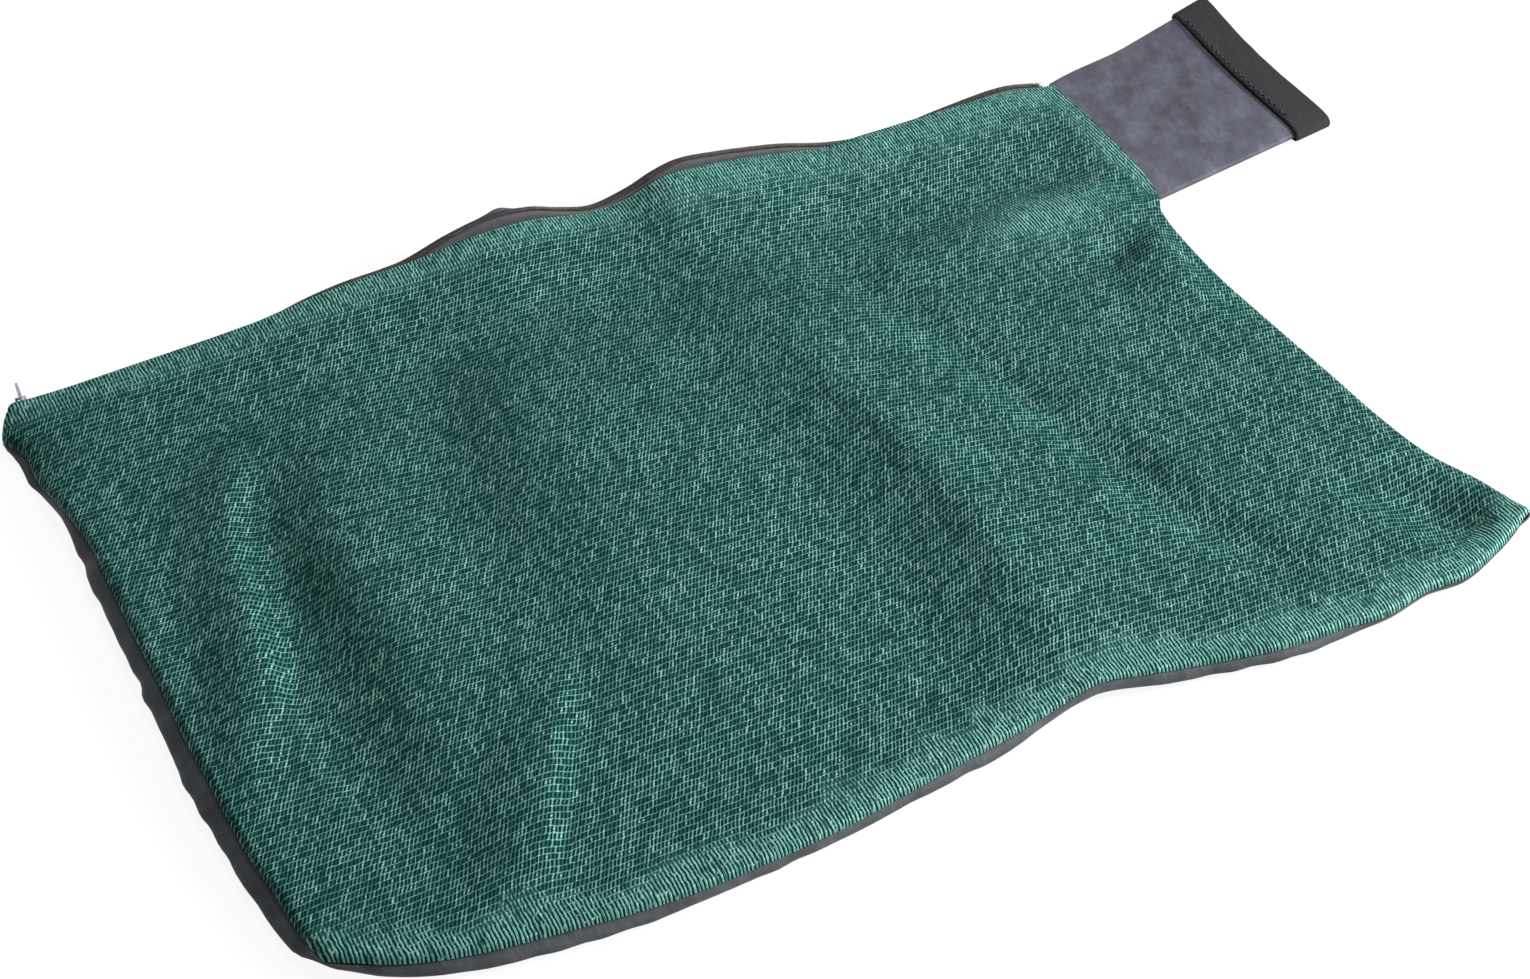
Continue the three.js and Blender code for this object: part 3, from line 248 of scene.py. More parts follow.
class Ripple:
    """Smooth random height over a place, the same in every run."""

    CELLS = 64

    def __init__(self, seed: int, along: float, across: float) -> None:
        """Takes the seed and the size in millimetres of one wave along X and along Y."""
        self.grid = np.random.default_rng(seed).uniform(-1, 1, (self.CELLS, self.CELLS))
        self.along, self.across = along, across

    def __call__(self, x: Array, y: Array) -> Array:
        """Finds the height, smooth between random corners.

        Args:
            x: places along.
            y: places across.

        Returns:
            The height at each place, from -1 to 1.
        """
        gx, gy = np.broadcast_arrays(np.asarray(x) / self.along, np.asarray(y) / self.across)
        i, j = np.floor(gx).astype(int), np.floor(gy).astype(int)
        s, t = smoothstep(gx - i, 0, 1), smoothstep(gy - j, 0, 1)
        corner = lambda di, dj: self.grid[(i + di) % self.CELLS, (j + dj) % self.CELLS]
        return lerp(lerp(corner(0, 0), corner(1, 0), s), lerp(corner(0, 1), corner(1, 1), s), t)


@dataclass(frozen=True)
class Fold:
    """Long fold of the mesh panel, higher or lower than the cloth beside it."""

    before: float
    after: float
    crest: Sequence[Sequence[float]]

    def height(self, share: Array, across: Array, length: float) -> Array:
        """Returns the height that the fold adds.

        Args:
            share: share of the way along the fold's crest line.
            across: millimetres across that line.
            length: length that the crest's places are shares of.
        """
        place = Curve([(at, where) for at, where, _ in self.crest])
        rise = Curve([(at, height) for at, _, height in self.crest])
        offset = across - place(share) * length
        reach = np.abs(offset) / np.where(offset < 0, self.before, self.after)
        return rise(share) * np.clip(1 - reach * reach, 0, 1) ** 2


@dataclass(frozen=True)
class Lie:
    """How the bag lies: its outline, the heights of its seams, and its two panels."""

    cloth: float = 0.8
    clearance: float = 0.3
    length: float = 674
    width: float = 456
    zip_side_start: float = -10
    zip_side_length: float = 679
    neck_seam: float = 124
    puff: float = 12.5
    seam_rise: float = 3.5
    seam_round: float = 3
    seam_fade: float = 15
    edge_calm: float = 22
    bead_height: float = 2.6  # fullness of the mesh right beside a seam
    bead_reach: float = 6
    hem_roll: float = 1.2
    hem_roll_reach: float = 8
    hem_fade: float = 80
    hem_curve: float = 1.7
    neck_fade: float = 45
    neck_blend: float = 12
    near_reach: float = 14  # strips at its edges where the nylon panel rises
    left_reach: float = 16
    far_reach: float = 10
    wall_curve: float = 2.2
    wall_bulge: float = 2.75
    chain_tilt: float = -12
    edge_to_chain: float = 6.3
    chain_to_wall: float = 5.6
    chain_over_wall: float = 4.2
    run_across: float = 0.034
    run_up: float = 0.0235
    run_height: float = 6.8
    crumple: float = 0.45  # height of the cloth's small random waves
    crease: float = 0.14  # share of the nylon's bulge that comes and goes along its edge
    pucker: float = 0.4  # height of the small waves that a row of stitches pulls into its hem
    pucker_rise: float = 3  # distance from the hem over which those waves come up
    pucker_reach: float = 7
    zip_corner: tuple = (22, 6)  # distances from the far edge where the left wall drops to the zip
    left_seam_end: float = 0.95  # share of the width up to which the left wall follows its seam
    end_calm: tuple = (8, 40)  # distances from an edge's ends where its small waves come up
    corner_trim: float = 15  # how far from a corner turned edges and stitches stop

    @property
    def layer(self) -> float:
        """Distance from one layer of cloth to the next."""
        return self.cloth + self.clearance

    @property
    def seam_half(self) -> float:
        """Distance of each panel from the seam line between them."""
        return self.layer / 2

    @property
    def floor(self) -> float:
        """Height of the nylon panel's middle surface on the ground."""
        return self.cloth / 2

    @property
    def right_end(self) -> float:
        """X of the far right corner."""
        return self.zip_side_start + self.zip_side_length

    @cached_property
    def right_width(self) -> float:
        """Y of the mesh hem at the far right corner."""
        return float(self.hem_y(np.array(self.right_end)))

    @property
    def neck_from(self) -> float:
        """Y where the neck starts on the right edge."""
        return self.right_width - self.neck_seam

    @property
    def neck_start(self) -> float:
        """Share of the right edge where the neck starts."""
        return self.neck_from / self.right_width

    @property
    def trim(self) -> tuple[float, float]:
        """Shares of the length and of the width that are cut away at a corner."""
        return self.corner_trim / self.length, self.corner_trim / self.width

    @cached_property
    def chain(self) -> tuple[Curve, Curve]:
        """Places across and heights of the zip's chain, by the share of the length."""
        run = []
        for share in STRAIGHT_RUN:
            along = (share - STRAIGHT_RUN[0]) * self.length
            run.append((share, self.run_across * along, self.run_height + self.run_up * along))
        points = [*run, *CHAIN_WAVES]
        across = Curve([(share, distance) for share, distance, _ in points])
        return across, Curve([(share, height) for share, _, height in points])

    @cached_property
    def seams(self) -> tuple[Curve, Curve, Curve, Curve]:
        """Heights of the near, left and right seams and of the zip's hem."""
        tables = (NEAR_SEAM_HEIGHT, LEFT_SEAM_HEIGHT, RIGHT_SEAM_HEIGHT, ZIP_HEM_HEIGHT)
        return tuple(Curve(table) for table in tables)

    @cached_property
    def lines(self) -> tuple[Curve, Curve, Curve]:
        """Outline of the near, left and right edges."""
        return Curve(NEAR_LINE), Curve(LEFT_LINE), Curve(RIGHT_LINE)

    @cached_property
    def waves(self) -> tuple[Ripple, Ripple, Ripple]:
        """Small random waves of the cloth: broad, fine, and along a hem."""
        return Ripple(4, 34, 46), Ripple(9, 13, 17), Ripple(2, 6.5, 40)

    def chain_y(self, x: Array) -> Array:
        """Returns Y of the middle of the chain."""
        return self.width + self.chain[0](x / self.length)

    def chain_z(self, x: Array) -> Array:
        """Returns the height of the middle of the chain."""
        return self.chain[1](x / self.length)

    def chain_point(self, x: Array, across: Array, out: Array) -> Array:
        """Finds points beside the chain.

        Args:
            x: places along the bag.
            across: distances across the chain, to the far side.
            out: distances out of its face.

        Returns:
            The points.
        """
        tilt = math.radians(self.chain_tilt)
        y = self.chain_y(x) + across * math.cos(tilt) - out * math.sin(tilt)
        z = self.chain_z(x) + across * math.sin(tilt) + out * math.cos(tilt)
        return np.stack(np.broadcast_arrays(np.asarray(x, dtype=float), y, z), axis=-1)

    def near_y(self, x: Array) -> Array:
        """Returns Y of the near edge."""
        return self.lines[0](x / self.length)

    def left_x(self, y: Array) -> Array:
        """Returns X of the left edge."""
        return self.lines[1](y / self.width)

    def right_x(self, y: Array) -> Array:
        """Returns X of the right edge."""
        share = y / self.right_width
        return lerp(self.length, self.right_end, share) + self.lines[2](share)

    def hem_y(self, x: Array) -> Array:
        """Returns Y of the mesh panel's hem at the zip."""
        return self.chain_y(x) - self.edge_to_chain

    def wall_y(self, x: Array) -> Array:
        """Returns Y of the nylon panel's far edge."""
        return self.chain_y(x) + self.chain_to_wall

    def neck_share(self, y: Array) -> Array:
        """Returns 1 beside the neck and 0 beside the shoulder's seam."""
        return smoothstep(y, self.neck_from - self.neck_blend, self.neck_from + self.neck_blend / 3)

    def place(self, u: Array, v: Array, far_y: Line) -> tuple[Array, Array]:
        """Place in the outline from two shares.

        Args:
            u: share from the left edge to the right one.
            v: share from the near edge to the far one.
            far_y: line of the far edge.

        Returns:
            X and Y of each place.
        """
        x, y = u * self.length, v * self.width
        for _ in range(12):
            x = lerp(self.left_x(y), self.right_x(np.minimum(y, self.right_width)), u)
            y = lerp(self.near_y(x), far_y(x), v)
        return x, y

    def gaps(self, x: Array, y: Array, far_y: Line) -> dict[str, Array]:
        """Measures how far each place is from the four edges.

        Args:
            x: places along the bag.
            y: places from near to far.
            far_y: line of the far edge.

        Returns:
            The distances, by the edge's name.
        """
        return {
            "near": np.maximum(y - self.near_y(x), 0),
            "left": np.maximum(x - self.left_x(y), 0),
            "right": np.maximum(self.right_x(y) - x, 0),
            "far": np.maximum(far_y(x) - y, 0),
        }

    def fold_height(self, x: Array, y: Array) -> Array:
        """Adds up the long folds.

        Args:
            x: places along the bag.
            y: places from near to far.

        Returns:
            The height that they add at each place.
        """
        height = np.zeros_like(x)
        for before, after, crest in FOLDS:
            height += Fold(before, after, crest).height(y / self.width, x, self.length)
        for before, after, crest in CROSS_FOLDS:
            height += Fold(before, after, crest).height(x / self.length, y, self.width)
        return height

    def mesh_height(self, x: Array, y: Array) -> Array:
        """Finds how high the mesh panel lies.

        Args:
            x: places along the bag.
            y: places from near to far.

        Returns:
            The height of its middle surface at each place.
        """
        gap = self.gaps(x, y, self.hem_y)
        right_seam = self.seams[2](y / self.right_width)
        calm = 1.0
        for side in ("near", "left", "right"):
            calm = calm * smoothstep(gap[side], 0, self.edge_calm)
        hem = self.seams[3](x / self.length)
        hem = hem + self.hem_roll * smoothstep(gap["far"], 0, self.hem_roll_reach)
        at_hem = np.clip(1 - gap["far"] / self.hem_fade, 0, 1) ** self.hem_curve
        at_neck = self.neck_share(y) * (1 - smoothstep(gap["right"], 0, self.neck_fade))
        broad, fine, along_hem = self.waves
        inner = calm * smoothstep(gap["far"], 2, self.edge_calm)
        small = self.crumple * (broad(x, y) + 0.55 * fine(x + 0.3 * y, y)) * inner
        free = lerp(self.puff + self.fold_height(x, y) * calm + small, hem, at_hem)
        base = self.from_seam(lerp(free, right_seam, at_neck), gap, x, y)
        pull = np.exp(-gap["near"] / self.pucker_reach)
        pull = pull * smoothstep(gap["near"], 0, self.pucker_rise)
        start, full = self.end_calm
        ends = between(x, (start, full, self.length - full, self.length - start))
        return base + self.pucker * along_hem(x, 0 * x) * pull * ends

    def from_seam(self, z: Array, gap: dict[str, Array], x: Array, y: Array) -> Array:
        """Height beside the three seams, each of which counts more the nearer it is.

        Args:
            z: height that the panel would have with no seam.
            gap: distances from the edges.
            x: places along the bag.
            y: places from near to far.

        Returns:
            The height of the mesh panel's middle surface.
        """
        near, left, right, _ = self.seams
        distances = [gap["near"], gap["left"], gap["right"] + self.length * self.neck_share(y)]
        heights = [near(x / self.length), left(y / self.width), right(y / self.right_width)]
        nearness = [(distance + 0.01) ** -2.0 for distance in distances]
        height = sum(h * n for h, n in zip(heights, nearness)) / sum(nearness)
        base = self.seam_half + height
        distance = np.minimum.reduce(distances)
        roll = self.seam_rise * (1 - np.exp(-distance / self.seam_round))
        bead = np.sqrt(np.clip(distance / self.bead_reach, 0, 1))
        roll = roll + self.bead_height * bead * (1 - bead)
        return base + roll + (z - base - self.seam_rise) * (1 - np.exp(-distance / self.seam_fade))

    def nylon_point(self, x: Array, y: Array) -> Array:
        """Finds points of the nylon panel: flat on the ground, with bulging walls at its edges.

        Args:
            x: places along the bag.
            y: places from near to far.

        Returns:
            The points.
        """
        gap = self.gaps(x, y, self.wall_y)
        near, left, right, _ = self.seams
        from_far, to_far = self.zip_corner
        at_corner = smoothstep(y, self.width - from_far, self.width - to_far)
        left_top = left(np.minimum(y / self.width, self.left_seam_end)) - self.seam_half
        zip_corner = self.chain_z(np.array(self.zip_side_start)) - self.chain_over_wall
        right_top = right(y / self.right_width) - self.seam_half
        top = {
            "near": near(x / self.length) - self.seam_half,
            "left": lerp(left_top, zip_corner, at_corner),
            "right": lerp(right_top, self.floor, self.neck_share(y)),
            "far": self.chain_z(x) - self.chain_over_wall,
        }
        off_corner = {side: smoothstep(gap[side], 0, self.left_reach) for side in gap}
        depth = {
            "near": Curve(NEAR_BULGE)(x / self.length) * off_corner["left"] * off_corner["right"],
            "left": Curve(LEFT_BULGE)(y / self.width) * off_corner["near"] * off_corner["far"],
            "right": self.wall_bulge,
            "far": self.wall_bulge,
        }
        reach = {"near": self.near_reach, "left": self.left_reach,
                 "right": self.far_reach, "far": self.far_reach}
        along = {"near": x, "left": y, "right": y, "far": x}
        creases = Ripple(21, 11, 9)
        rise, bulge = {}, {}
        for side, height in top.items():
            share = np.clip(1 - gap[side] / reach[side], 0, 1)
            rise[side] = (height - self.floor) * share**self.wall_curve
            crease = 1 + self.crease * creases(along[side], gap[side] * 0.6)
            bulge[side] = 4 * depth[side] * share * (1 - share) * crease
            bulge[side] = bulge[side] * np.minimum(1, rise[side] / 1.2 + 0.2)
        return np.stack([
            x - bulge["left"] + (1 - self.neck_share(y)) * bulge["right"],
            y - bulge["near"] + bulge["far"],
            self.floor + np.maximum.reduce(list(rise.values())),
        ], axis=-1)


class Sheet:
    """Sheet of cloth: points of its middle surface, and the four-sided cells between them."""

    def __init__(self, thickness: float) -> None:
        """Starts an empty sheet.

        Args:
            thickness: the cloth's thickness in millimetres.
        """
        self.half = thickness / 2
        self.points: list[Array] = []
        self.places: list[Array] = []
        self.halves: list[Array] = []
        self.hems: list[Array] = []
        self.cells: list[Array] = []
        self.count = 0

    def row(self, points: Array, places: Array, swell: float = 1, hem: Array | float = 0) -> Array:
        """Adds a row or a whole field of points.

        Args:
            points: points of the middle surface, with X, Y and Z last.
            places: place of each point on the flat cloth, in millimetres.
            swell: share of the cloth's thickness here.
            hem: 0 to 1, how much the weave shows plain strokes with a painted highlight here.

        Returns:
            Numbers of the points, in the same arrangement.
        """
        arrangement = points.shape[:-1]
        total = int(np.prod(arrangement))
        numbers = self.count + np.arange(total).reshape(arrangement)
        self.points.append(points.reshape(-1, 3))
        self.places.append(places.reshape(-1, 2))
        self.halves.append(np.full(total, self.half * swell))
        self.hems.append(np.broadcast_to(hem, arrangement).reshape(-1))
        self.count += total
        return numbers

    def join(self, low: Array, high: Array) -> None:
        """Adds the cells between two rows, the second on the left of the first."""
        self.cells.append(np.stack([low[:-1], low[1:], high[1:], high[:-1]], axis=-1))

    def join_all(self, grid: Sequence[Array]) -> None:
        """Adds the cells between each row of a field and the next."""
        for low, high in zip(grid[:-1], grid[1:]):
            self.join(low, high)

    def piece(self, name: str) -> bpy.types.Object:
        """Makes the closed piece: both faces of the cloth and a rim round each edge.

        Args:
            name: the piece's name.

        Returns:
            The object, in the scene.
        """
        points = np.concatenate(self.points)
        places = np.concatenate(self.places)
        cells = np.concatenate(self.cells)
        corners = points[cells]
        faces = np.cross(corners[:, 2] - corners[:, 0], corners[:, 3] - corners[:, 1])
        faces /= np.maximum(np.linalg.norm(faces, axis=1, keepdims=True), 1e-9)
        normals = np.zeros_like(points)
        for k in range(4):
            np.add.at(normals, cells[:, k], faces)
        normals /= np.maximum(np.linalg.norm(normals, axis=1, keepdims=True), 1e-9)
        offset = normals * np.concatenate(self.halves)[:, None]
        under = len(points)
        edges = np.concatenate([cells[:, [k, (k + 1) % 4]] for k in range(4)])
        key, back = edges[:, 0] * under + edges[:, 1], edges[:, 1] * under + edges[:, 0]
        rim = edges[~np.isin(key, back)]
        rims = np.stack([rim[:, 0] + under, rim[:, 1] + under, rim[:, 1], rim[:, 0]], axis=-1)
        quads = np.concatenate([cells, cells[:, ::-1] + under, rims])
        both = np.concatenate([points + offset, points - offset])
        piece = make_piece(name, both, quads)
        flat = np.concatenate([places, places])
        layer = piece.data.uv_layers.new(name="weave")
        layer.uv.foreach_set("vector", flat[quads.reshape(-1)].astype(np.float32).reshape(-1))
        # The hem attribute carries the painted highlight on plain strokes.
        hem = piece.data.attributes.new("hem", "FLOAT", "POINT")
        hems = np.concatenate(self.hems * 2).astype(np.float32)
        hem.data.foreach_set("value", hems)
        return piece


def make_piece(name: str, points: Array, quads: Array, sharp: float = 50) -> bpy.types.Object:
    """Makes an object from four-sided faces.

    Args:
        name: the piece's name.
        points: points in millimetres, as drawn.
        quads: numbers of each face's four points.
        sharp: angle in degrees from which an edge is shaded sharp.

    Returns:
        The object, in the scene.
    """
    mesh = bpy.data.meshes.new(name)
    mesh.vertices.add(len(points))
    mesh.vertices.foreach_set("co", ((points - DRAWN_MIDDLE) * MM).astype(np.float32).reshape(-1))
    mesh.loops.add(quads.size)
    mesh.loops.foreach_set("vertex_index", quads.astype(np.int32).reshape(-1))
    mesh.polygons.add(len(quads))
    mesh.polygons.foreach_set("loop_start", np.arange(0, quads.size, 4, dtype=np.int32))
    mesh.update(calc_edges=True)
    mesh.validate()
    mesh.shade_smooth()
    mesh.set_sharp_from_angle(angle=math.radians(sharp))
    piece = bpy.data.objects.new(name, mesh)
    bpy.context.scene.collection.objects.link(piece)
    return piece


def tube(path: Array, radius: float, sides: int, first: int = 0) -> tuple[Array, Array]:
    """Round rod along a path, closed at both ends.

    Args:
        path: points that the rod follows.
        radius: the rod's radius; its first and last rings are smaller, which rounds its ends.
        sides: points in each ring.
        first: number that the first point gets.

    Returns:
        The rod's points and its four-sided faces.
    """
    way = np.gradient(path, axis=0)
    way /= np.linalg.norm(way, axis=1, keepdims=True)
    up = np.array([0.0, -0.35, 1.0])
    side = np.cross(way, up)
    side /= np.linalg.norm(side, axis=1, keepdims=True)
    lift = np.cross(side, way)
    turn = 2 * np.pi * np.arange(sides) / sides
    radii = np.full(len(path), radius)
    radii[[0, -1]] *= 0.55
    ring = np.cos(turn)[None, :, None] * side[:, None] + np.sin(turn)[None, :, None] * lift[:, None]
    points = path[:, None] + ring * radii[:, None, None]
    index = np.arange(len(path) * sides).reshape(len(path), sides)
    beside = np.roll(index, -1, axis=1)
    quads = np.stack([index[:-1], beside[:-1], beside[1:], index[1:]], axis=-1).reshape(-1, 4)
    ends = [index[0][::-1], index[-1]]
    middles = np.stack([path[0], path[-1]])
    points = np.concatenate([points.reshape(-1, 3), middles])
    caps = []
    for number, end in enumerate(ends):
        centre = len(path) * sides + number
        for k in range(0, sides, 2):
            caps.append([end[k], end[(k + 1) % sides], end[(k + 2) % sides], centre])
    return points, np.concatenate([quads, np.array(caps)]) + first


def rounded(rows: Array, times: int) -> Array:
    """Cuts the corners off a line of rows, with its ends kept.

    Args:
        rows: rows of points, one after another across the cloth.
        times: how often the corners are cut.

    Returns:
        More rows, on a rounder line.
    """
    for _ in range(times):
        before, after = rows[:-1], rows[1:]
        cut = np.stack([0.75 * before + 0.25 * after, 0.25 * before + 0.75 * after], axis=1)
        inner = cut.reshape(-1, *rows.shape[1:])
        rows = np.concatenate([rows[:1], inner[1:-1], rows[-1:]])
    return rows


class Wire:
    """Value in a shader tree that can be reckoned with."""

    def __init__(self, tree: "Tree", socket: bpy.types.NodeSocket) -> None:
        """Takes the tree and the socket that the value comes from."""
        self.tree, self.socket = tree, socket

    def _math(self, operation: str, *values: "Wire | float") -> "Wire":
        """Returns the result of a math node on this value and others."""
        return self.tree.math(operation, self, *values)

    def __add__(self, other: "Wire | float") -> "Wire":
        """Returns the sum."""
        return self._math("ADD", other)

    def __sub__(self, other: "Wire | float") -> "Wire":
        """Returns the difference."""
        return self._math("SUBTRACT", other)

    def __mul__(self, other: "Wire | float") -> "Wire":
        """Returns the product."""
        return self._math("MULTIPLY", other)

    def __truediv__(self, other: "Wire | float") -> "Wire":
        """Returns the quotient."""
        return self._math("DIVIDE", other)

    def floor(self) -> "Wire":
        """Returns the whole number below."""
        return self._math("FLOOR")

    def fract(self) -> "Wire":
        """Returns the part past the whole number."""
        return self._math("FRACT")

    def from_middle(self) -> "Wire":
        """Returns how far the value is from a half."""
        return (self - 0.5)._math("ABSOLUTE")

    def at_most(self, other: "Wire | float") -> "Wire":
        """Returns the smaller value."""
        return self._math("MINIMUM", other)

    def at_least(self, other: "Wire | float") -> "Wire":
        """Returns the larger value."""
        return self._math("MAXIMUM", other)

    def over(self, low: "Wire | float", high: "Wire | float") -> "Wire":
        """Steps smoothly from 0 to 1.

        Args:
            low: value up to which the result is 0.
            high: value from which it is 1.

        Returns:
            The result.
        """
        node = self.tree.nodes.new("ShaderNodeMapRange")
        node.interpolation_type = "SMOOTHSTEP"
        for name, value in (("Value", self), ("From Min", low), ("From Max", high)):
            self.tree.put(node.inputs[name], value)
        return Wire(self.tree, node.outputs["Result"])

    def under(self, low: "Wire | float", high: "Wire | float") -> "Wire":
        """Returns 1 below low, 0 above high, and a smooth way between them."""
        return self.tree.math("SUBTRACT", 1.0, self.over(low, high))


def tint(red: float, green: float, blue: float) -> tuple[float, float, float, float]:
    """Turns a colour as a picture shows it into one for a shader.

    Args:
        red: red, from 0 to 255.
        green: green, from 0 to 255.
        blue: blue, from 0 to 255.

    Returns:
        The colour in linear light, with full alpha.
    """
    shown = np.array([red, green, blue]) / 255
    light = np.where(shown <= 0.04045, shown / 12.92, ((shown + 0.055) / 1.055) ** 2.4)
    return (*light.tolist(), 1.0)


class Tree:
    """Shader tree of one finish, with short calls for the nodes that each finish needs."""

    def __init__(self, name: str) -> None:
        """Makes the material with its surface shader.

        Args:
            name: the material's name.
        """
        self.material = bpy.data.materials.new(name)
        self.material.use_nodes = True
        self.nodes = self.material.node_tree.nodes
        self.links = self.material.node_tree.links
        self.nodes.clear()
        self.shader = self.nodes.new("ShaderNodeBsdfPrincipled")
        output = self.nodes.new("ShaderNodeOutputMaterial")
        self.links.new(self.shader.outputs["BSDF"], output.inputs["Surface"])

    def put(self, socket: bpy.types.NodeSocket, value: "Wire | float | tuple") -> None:
        """Joins a wire to a socket, or sets the socket to a plain value.

        Args:
            socket: the socket.
            value: the wire or the plain value.
        """
        if isinstance(value, Wire):
            self.links.new(value.socket, socket)
        else:
            socket.default_value = value

    def math(self, operation: str, *values: "Wire | float") -> Wire:
        """Adds a math node.

        Args:
            operation: what it does, as Blender names it.
            values: what it does it to.

        Returns:
            Its result.
        """
        node = self.nodes.new("ShaderNodeMath")
        node.operation = operation
        for socket, value in zip(node.inputs, values):
            self.put(socket, value)
        return Wire(self, node.outputs["Value"])

    def place(self) -> tuple[Wire, Wire]:
        """Returns the place on the flat cloth in millimetres, along and across."""
        source = self.nodes.new("ShaderNodeUVMap")
        source.uv_map = "weave"
        split = self.nodes.new("ShaderNodeSeparateXYZ")
        self.links.new(source.outputs["UV"], split.inputs["Vector"])
        return Wire(self, split.outputs["X"]), Wire(self, split.outputs["Y"])

    def spot(self) -> tuple[Wire, Wire, Wire]:
        """Returns the place in the frame in millimetres."""
        source = self.nodes.new("ShaderNodeTexCoord")
        split = self.nodes.new("ShaderNodeSeparateXYZ")
        self.links.new(source.outputs["Object"], split.inputs["Vector"])
        return tuple(Wire(self, split.outputs[axis]) * 1000.0 for axis in "XYZ")

    def vector(self, x: "Wire | float", y: "Wire | float", z: "Wire | float" = 0.0) -> Wire:
        """Joins three numbers.

        Args:
            x: first part.
            y: second part.
            z: third part.

        Returns:
            The vector.
        """
        node = self.nodes.new("ShaderNodeCombineXYZ")
        for socket, value in zip(node.inputs, (x, y, z)):
            self.put(socket, value)
        return Wire(self, node.outputs["Vector"])

    def noise(self, at: Wire, detail: float = 2.0, rough: float = 0.5) -> Wire:
        """Adds smooth noise with waves about one unit long.

        Args:
            at: place in the noise.
            detail: how many finer waves are laid over the first.
            rough: how strong those are.

        Returns:
            The noise, from 0 to 1.
        """
        node = self.nodes.new("ShaderNodeTexNoise")
        self.put(node.inputs["Vector"], at)
        for name, value in (("Scale", 1.0), ("Detail", detail), ("Roughness", rough)):
            node.inputs[name].default_value = value
        return Wire(self, node.outputs["Fac"])

    def chance(self, at: Wire) -> Wire:
        """Adds a random number for each vector.

        Args:
            at: the vector.

        Returns:
            The number, from 0 to 1.
        """
        node = self.nodes.new("ShaderNodeTexWhiteNoise")
        self.put(node.inputs["Vector"], at)
        return Wire(self, node.outputs["Value"])

    def hem(self) -> Wire:
        """Returns how much the weave shows plain strokes with a painted highlight."""
        node = self.nodes.new("ShaderNodeAttribute")
        node.attribute_name = "hem"
        return Wire(self, node.outputs["Fac"])

    def mix(self, share: "Wire | float", first: "Wire | tuple", second: "Wire | tuple") -> Wire:
        """Mixes two colours.

        Args:
            share: share of the way to the second.
            first: first colour.
            second: second colour.

        Returns:
            The mixed colour.
        """
        node = self.nodes.new("ShaderNodeMix")
        node.data_type = "RGBA"
        for number, value in ((0, share), (6, first), (7, second)):
            self.put(node.inputs[number], value)
        return Wire(self, node.outputs[2])

    def blend(self, share: Wire, first: "Wire | float", second: "Wire | float") -> Wire:
        """Mixes two numbers.

        Args:
            share: share of the way to the second.
            first: first number.
            second: second number.

        Returns:
            The mixed number.
        """
        node = self.nodes.new("ShaderNodeMix")
        for number, value in ((0, share), (2, first), (3, second)):
            self.put(node.inputs[number], value)
        return Wire(self, node.outputs[0])

    def bump(self, height: Wire, depth: float, below: "Wire | None" = None) -> Wire:
        """Returns the normal of a surface with fine relief.

        Args:
            height: relief from 0 to 1.
            depth: its depth in millimetres.
            below: normal that the relief lies on.
        """
        node = self.nodes.new("ShaderNodeBump")
        node.inputs["Distance"].default_value = depth * MM
        self.put(node.inputs["Height"], height)
        if below is not None:
            self.put(node.inputs["Normal"], below)
        return Wire(self, node.outputs["Normal"])

    def finish(self, **values: "Wire | float | tuple") -> bpy.types.Material:
        """Sets the surface shader's sockets.

        Args:
            values: what goes into each socket, named with underscores.

        Returns:
            The material.
        """
        for name, value in values.items():
            self.put(self.shader.inputs[name.replace("_", " ")], value)
        return self.material


@dataclass(frozen=True)
class Finish:
    """Finish of a material: its slot name and its material."""

    slot: str = ""

    @cached_property
    def material(self) -> bpy.types.Material:
        """The material, made when it is first needed."""
        return self.make()

    def make(self) -> bpy.types.Material:
        """Makes the material."""
        raise NotImplementedError


